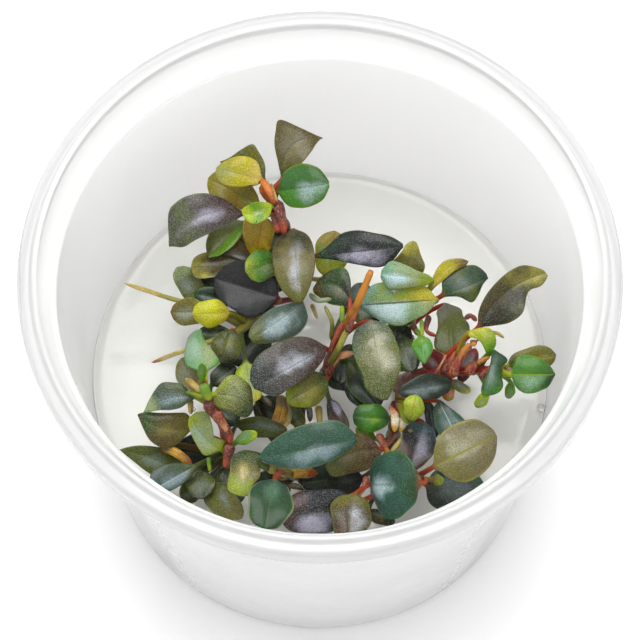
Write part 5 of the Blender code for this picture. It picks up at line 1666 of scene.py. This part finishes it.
TWIGS = {
    "stem_back": [
        Twig("scale_top", "flame",
             ((-9.8, 22.0, 58), (-8.6, 19.9, 58.5), (-7.4, 18.0, 57)), 0.6, 0.9),
        Twig("scale_side", "red",
             ((-7.6, 18.8, 56.5), (-6.6, 16.9, 55.5), (-6.1, 14.5, 53)), 0.95, 0.75),
        Twig("scale_inner", "red", ((-7.6, 17.4, 54.5), (-6.9, 14.7, 53)), 0.8, 0.7),
        Twig("edge_gold", "gold", ((-8.2, 20.9, 58.8), (-7.2, 17.9, 58.2)), 0.25, 0.2),
    ],
    "stem_centre": [
        Twig("strip_red", "red", ((0.8, -7.3, 46), (2.2, -4.9, 50), (3.8, -2.1, 53)), 0.6, 0.35),
        Twig("strip_olive", "olive",
             ((1.5, -7.0, 46.5), (3.2, -5.8, 51), (4.7, -3.4, 53.5)), 0.7, 0.5),
        Twig("stalk_curled", "olive",
             ((1.9, -2.1, 46), (2.0, 0.3, 48), (0.8, 2.8, 49)), 0.42, 0.36),
        Twig("stalk_inner", "fresh", ((3.7, -1.1, 51), (3.7, 2.3, 50)), 0.42, 0.42),
        Twig("stalk_wide", "blush",
             ((1.2, -7.5, 44), (3.0, -6.4, 48), (5.7, -5.9, 49)), 0.75, 0.5),
        Twig("edge_red", "red", ((4.5, -4.4, 54), (6.0, -2.0, 56.4)), 0.6, 0.3),
        Twig("lip_curled", "sage",
             ((-1.7, 4.5, 50), (-0.3, 3.2, 50.4), (1.9, 3.4, 50.4)), 0.5, 0.45),
        Twig("film_gold", "gold", ((-1.4, 5.5, 44), (-0.5, 2.9, 44)), 0.4, 0.3),
    ],
    "stem_right": [
        Twig("frame_pink", "blush", ((18.9, -10.7, 49), (21.1, -7.2, 51)), 0.2, 0.2),
        Twig("frame_low", "blush", ((18.7, -10.6, 49), (21.7, -11.1, 49)), 0.2, 0.2),
        Twig("sheath_first", "ripe",
             ((21.7, -10.6, 49.5), (23.0, -8.5, 51), (24.4, -6.6, 52), (26.4, -5.4, 53)),
             1.0, 0.5),
        Twig("sheath_second", "red",
             ((20.6, -9.6, 48.5), (21.7, -8.1, 50), (22.7, -6.5, 51)), 0.9, 0.3),
        Twig("sheath_third", "ripe",
             ((24.4, -10.5, 50.5), (26.0, -9.4, 52), (28.3, -8.5, 53)), 0.9, 0.3),
        Twig("sheath_fourth", "red",
             ((26.7, -11.5, 51), (28.0, -10.5, 52), (29.0, -9.8, 53)), 0.7, 0.3),
        Twig("crumb_right", "gold",
             ((28.4, -4.5, 53.5), (29.5, -4.6, 54), (30.7, -5.0, 53)), 0.4, 0.2),
        Twig("stub_side", "red",
             ((24.4, 1.0, 48), (25.4, 1.2, 48.5), (26.4, 0.5, 48)), 0.45, 0.35),
    ],
    "stem_shoot": [
        Twig("knot", "fresh",
             ((-19.4, -14.6, 55.5), (-18.9, -15.6, 54.5), (-18.2, -16.2, 53)), 0.85, 0.7),
        Twig("base_left", "gold",
             ((-22.3, -12.1, 51.5), (-20.9, -13.6, 52.5), (-19.6, -15.0, 53.5)), 0.5, 0.5),
        Twig("base_grey", "fresh",
             ((-22.3, -13.8, 50.5), (-20.4, -15.0, 52), (-19.2, -15.7, 53)), 0.35, 0.45),
        Twig("base_right", "fresh", ((-18.7, -16.1, 53.5), (-17.3, -15.1, 53)), 0.5, 0.4),
        Twig("scale_first", "red",
             ((-18.8, -16.3, 52), (-17.8, -17.2, 50), (-16.8, -18.5, 48)), 0.95, 0.6),
        Twig("scale_second", "blush",
             ((-17.5, -17.5, 50.5), (-16.3, -18.6, 49), (-15.3, -19.9, 47)), 0.85, 0.5),
        Twig("scale_third", "red",
             ((-16.3, -18.8, 48.5), (-15.2, -19.9, 47), (-14.9, -20.9, 45.5)), 0.8, 0.6),
        Twig("scale_fourth", "red",
             ((-15.0, -21.1, 45.5), (-15.4, -22.6, 44.5), (-15.9, -24.3, 43)), 0.9, 0.6),
        Twig("stalk_lime", "fresh", ((-18.7, -22.6, 43.5), (-18.4, -24.5, 42)), 0.4, 0.3),
        Twig("husk_side", "gold", ((-21.7, -14.0, 48), (-21.6, -16.0, 46.5)), 0.5, 0.4),
    ],
    "stem_front": [
        Twig("husk_pale", "gold", ((-0.3, -11.6, 40), (0.0, -14.5, 39)), 0.6, 0.5),
    ],
    "stem_front_right": [
        Twig("stalk_orange", "ripe",
             ((9.7, -18.8, 44.5), (10.7, -20.8, 44), (11.7, -22.2, 43)), 0.65, 0.5),
        Twig("stalk_gold", "gold",
             ((15.4, -18.3, 45), (13.4, -20.3, 44.5), (11.9, -21.9, 44)), 0.65, 0.45),
    ],
    "stem_low_right": [
        Twig("slit_pale", "blush",
             ((7.8, -26.8, 45), (7.3, -28.7, 45), (6.3, -30.6, 45)), 0.6, 0.3),
    ],
    "stem_back_right": [
        Twig("stalk_heart", "fresh", ((17.1, -0.1, 49.5), (17.1, -3.3, 50)), 0.38, 0.35),
        Twig("stalk_left_red", "red", ((15.5, 0.4, 47), (16.5, -1.7, 47)), 0.5, 0.4),
        Twig("stalk_right_red", "red",
             ((18.4, 1.9, 47), (17.9, -1.0, 47.5), (19.5, -1.9, 47)), 0.5, 0.35),
    ],
}
print(sum(len(twigs) for twigs in TWIGS.values()), "twigs")

# %% [markdown]
# ## Looks for stems and twigs
#
# Each is a colour near the gel, one higher up, one for its streaks, and the place where the
# first turns into the second. Some twigs are more crumpled than the rest.

# %% Looks of stems and twigs
TWIG_LOOKS = {
    "red": ("wine", "rust", "blush", 0.6),
    "flame": ("orange", "rust", "gold", 0.6),
    "ripe": ("red", "amber", "gold", 0.6),
    "olive": ("olive", "khaki", "moss", 0.5),
    "fresh": ("fresh", "lime", "grass", 0.5),
    "blush": ("red", "blush", "straw", 0.5),
    "sage": ("moss", "sage", "steel", 0.4),
    "gold": ("ochre", "gold", "straw", 0.4),
}
SMOOTH = 0.08
CRUMPLED = {"red": 0.18, "ripe": 0.18, "flame": 0.14, "blush": 0.14}

STEM_LOOKS = {
    "stem_back": ("wine", "orange", "pink", 0.88),
    "stem_left": ("brown", "olive", "khaki", 0.3),
    "stem_shoot": ("brown", "rust", "pink", 0.4),
    "stem_centre": ("wine", "amber", "tan", 0.75),
    "stem_right": ("clay", "red", "blush", 0.35),
    "stem_front_right": ("bark", "brown", "tan", 0.5),
    "stem_back_right": ("red", "ochre", "rust", 0.6),
    "stem_front": ("brown", "khaki", "bark", 0.8),
    "stem_low_right": ("brown", "orange", "rust", 0.8),
}

twig_skins = {look: stem_material("skin_twig_" + look, *TWIG_LOOKS[look]) for look in TWIG_LOOKS}
print(len(TWIG_LOOKS), "looks for twigs and", len(STEM_LOOKS), "for stems")

# %% [markdown]
# ## How thick a stem is
#
# A stem thins towards its tip and swells at each node, where a leaf once grew. A twig's radius
# also changes around it, so that it looks folded. A round tube would look like wire.

# %% Radii
NODE_STEP = 4.2
NODE_SWELL = 0.16
NODE_LENGTH = 0.7
STEM_BODY = 0.9


def stem_radius(stem):
    """How far the stem's skin is from its line, at a share and a distance along it."""
    def at(share, distance, turn):
        plain = stem.foot_radius + (stem.end_radius - stem.foot_radius) * share
        near = abs((distance / NODE_STEP) % 1.0 - 0.5) * NODE_STEP
        close = min(1.0, 6 * share + 0.3, 12 * (1 - share) + 0.75)
        return plain * (STEM_BODY + NODE_SWELL * math.exp(-(near / NODE_LENGTH) ** 2)) * close
    return at


def twig_radius(twig):
    """The same for a twig, with folds that wind round it."""
    rough = CRUMPLED.get(twig.look, SMOOTH)

    def at(share, distance, turn):
        plain = twig.first + (twig.last - twig.first) * share
        folds = math.cos(2 * turn + 0.8 * distance) + 0.5 * math.cos(5 * turn + 0.5 * distance)
        return plain * (1 + rough * folds) * min(1.0, 0.5 + 4 * share, 0.5 + 4 * (1 - share))
    return at


print("Halfway up, the stems are", [round(2 * stem_radius(stem)(0.5, 0.0, 0.0), 1)
                                    for stem in STEMS], "mm thick")

# %% [markdown]
# ## Making the stems
#
# Each stem is made with its small leaves, sheaths and twigs, and all of them are joined into
# one piece that stands for the stem's solid. The materials come along with the join.

# %% Make the stems
STEM_SIDES, STEM_ROWS = 14, 60
SMALL_ROWS, SMALL_COLUMNS = 24, 8
TWIG_SIDES, TWIG_ROWS = 10, 14

for stem in STEMS:
    body = tube_piece(stem.name + "_fine", LINES[stem.name], stem_radius(stem),
                      STEM_SIDES, STEM_ROWS)
    body.data.materials.append(stem_material("skin_" + stem.name, *STEM_LOOKS[stem.name]))
    parts = [body]
    for leaf in SMALL_LEAVES + SHEATHS:
        if leaf.stem == stem.name:
            small = leaf_piece(leaf, SMALL_ROWS, SMALL_COLUMNS)
            look = SMALL_LOOKS.get(leaf.name) or TONE_LOOKS[leaf.tone]
            small.data.materials.append(leaf_material("skin_" + leaf.name, look))
            parts.append(small)
    for twig in TWIGS.get(stem.name, []):
        small = tube_piece(twig.name, smooth_line(twig.points), twig_radius(twig),
                           TWIG_SIDES, TWIG_ROWS)
        small.data.materials.append(twig_skins[twig.look])
        parts.append(small)
    deselect()
    for part in parts:
        part.select_set(True)
    bpy.context.view_layer.objects.active = body
    if len(parts) > 1:
        bpy.ops.object.join()
    settle(body, "stem_skin", stem.name)
print(len(SMALL_LEAVES) + len(SHEATHS), "small leaves and sheaths on", len(STEMS), "stems")

# %% [markdown]
# ## Drops of water
#
# The cup is damp inside, so a few clear drops hang from the leaves and one sits on the wall.
# Each is a small ball pressed a little flat, with water's own index of refraction. Painted
# glints would be quicker, but they would not bend what is behind them.

# %% Drops
DROPS = {
    "drop_wall": ((38.0, -6.4, 28.0), 0.7),
    "drop_leaf": ((-21.2, -15.6, 47.5), 0.45),
    "drop_tip": ((12.4, 2.8, 54.5), 0.35),
    "drop_curl": ((-10.9, 15.1, 56), 0.4),
}
DROP_FLATTER = 0.8
DROP_SIDES, DROP_RINGS = 24, 12

water, water_shader = clear_material("water", milk=0.0, bend=1.33, wave_size=60.0, haze=0.0,
                                     clear=0.02, wave_depth=0.0)
water_shader.inputs["Base Color"].default_value = linear("ffffff")
for name, (place, size) in DROPS.items():
    bpy.ops.mesh.primitive_uv_sphere_add(segments=DROP_SIDES, ring_count=DROP_RINGS,
                                         radius=size * METRE)
    drop = bpy.context.object
    drop.name = name
    bpy.ops.object.shade_smooth()
    for corner in drop.data.vertices:
        corner.co.z *= DROP_FLATTER
        corner.co += Vector(place) * METRE
    drop.data.materials.append(water)
    settle(drop, "clear_gel")
print(len(DROPS), "drops")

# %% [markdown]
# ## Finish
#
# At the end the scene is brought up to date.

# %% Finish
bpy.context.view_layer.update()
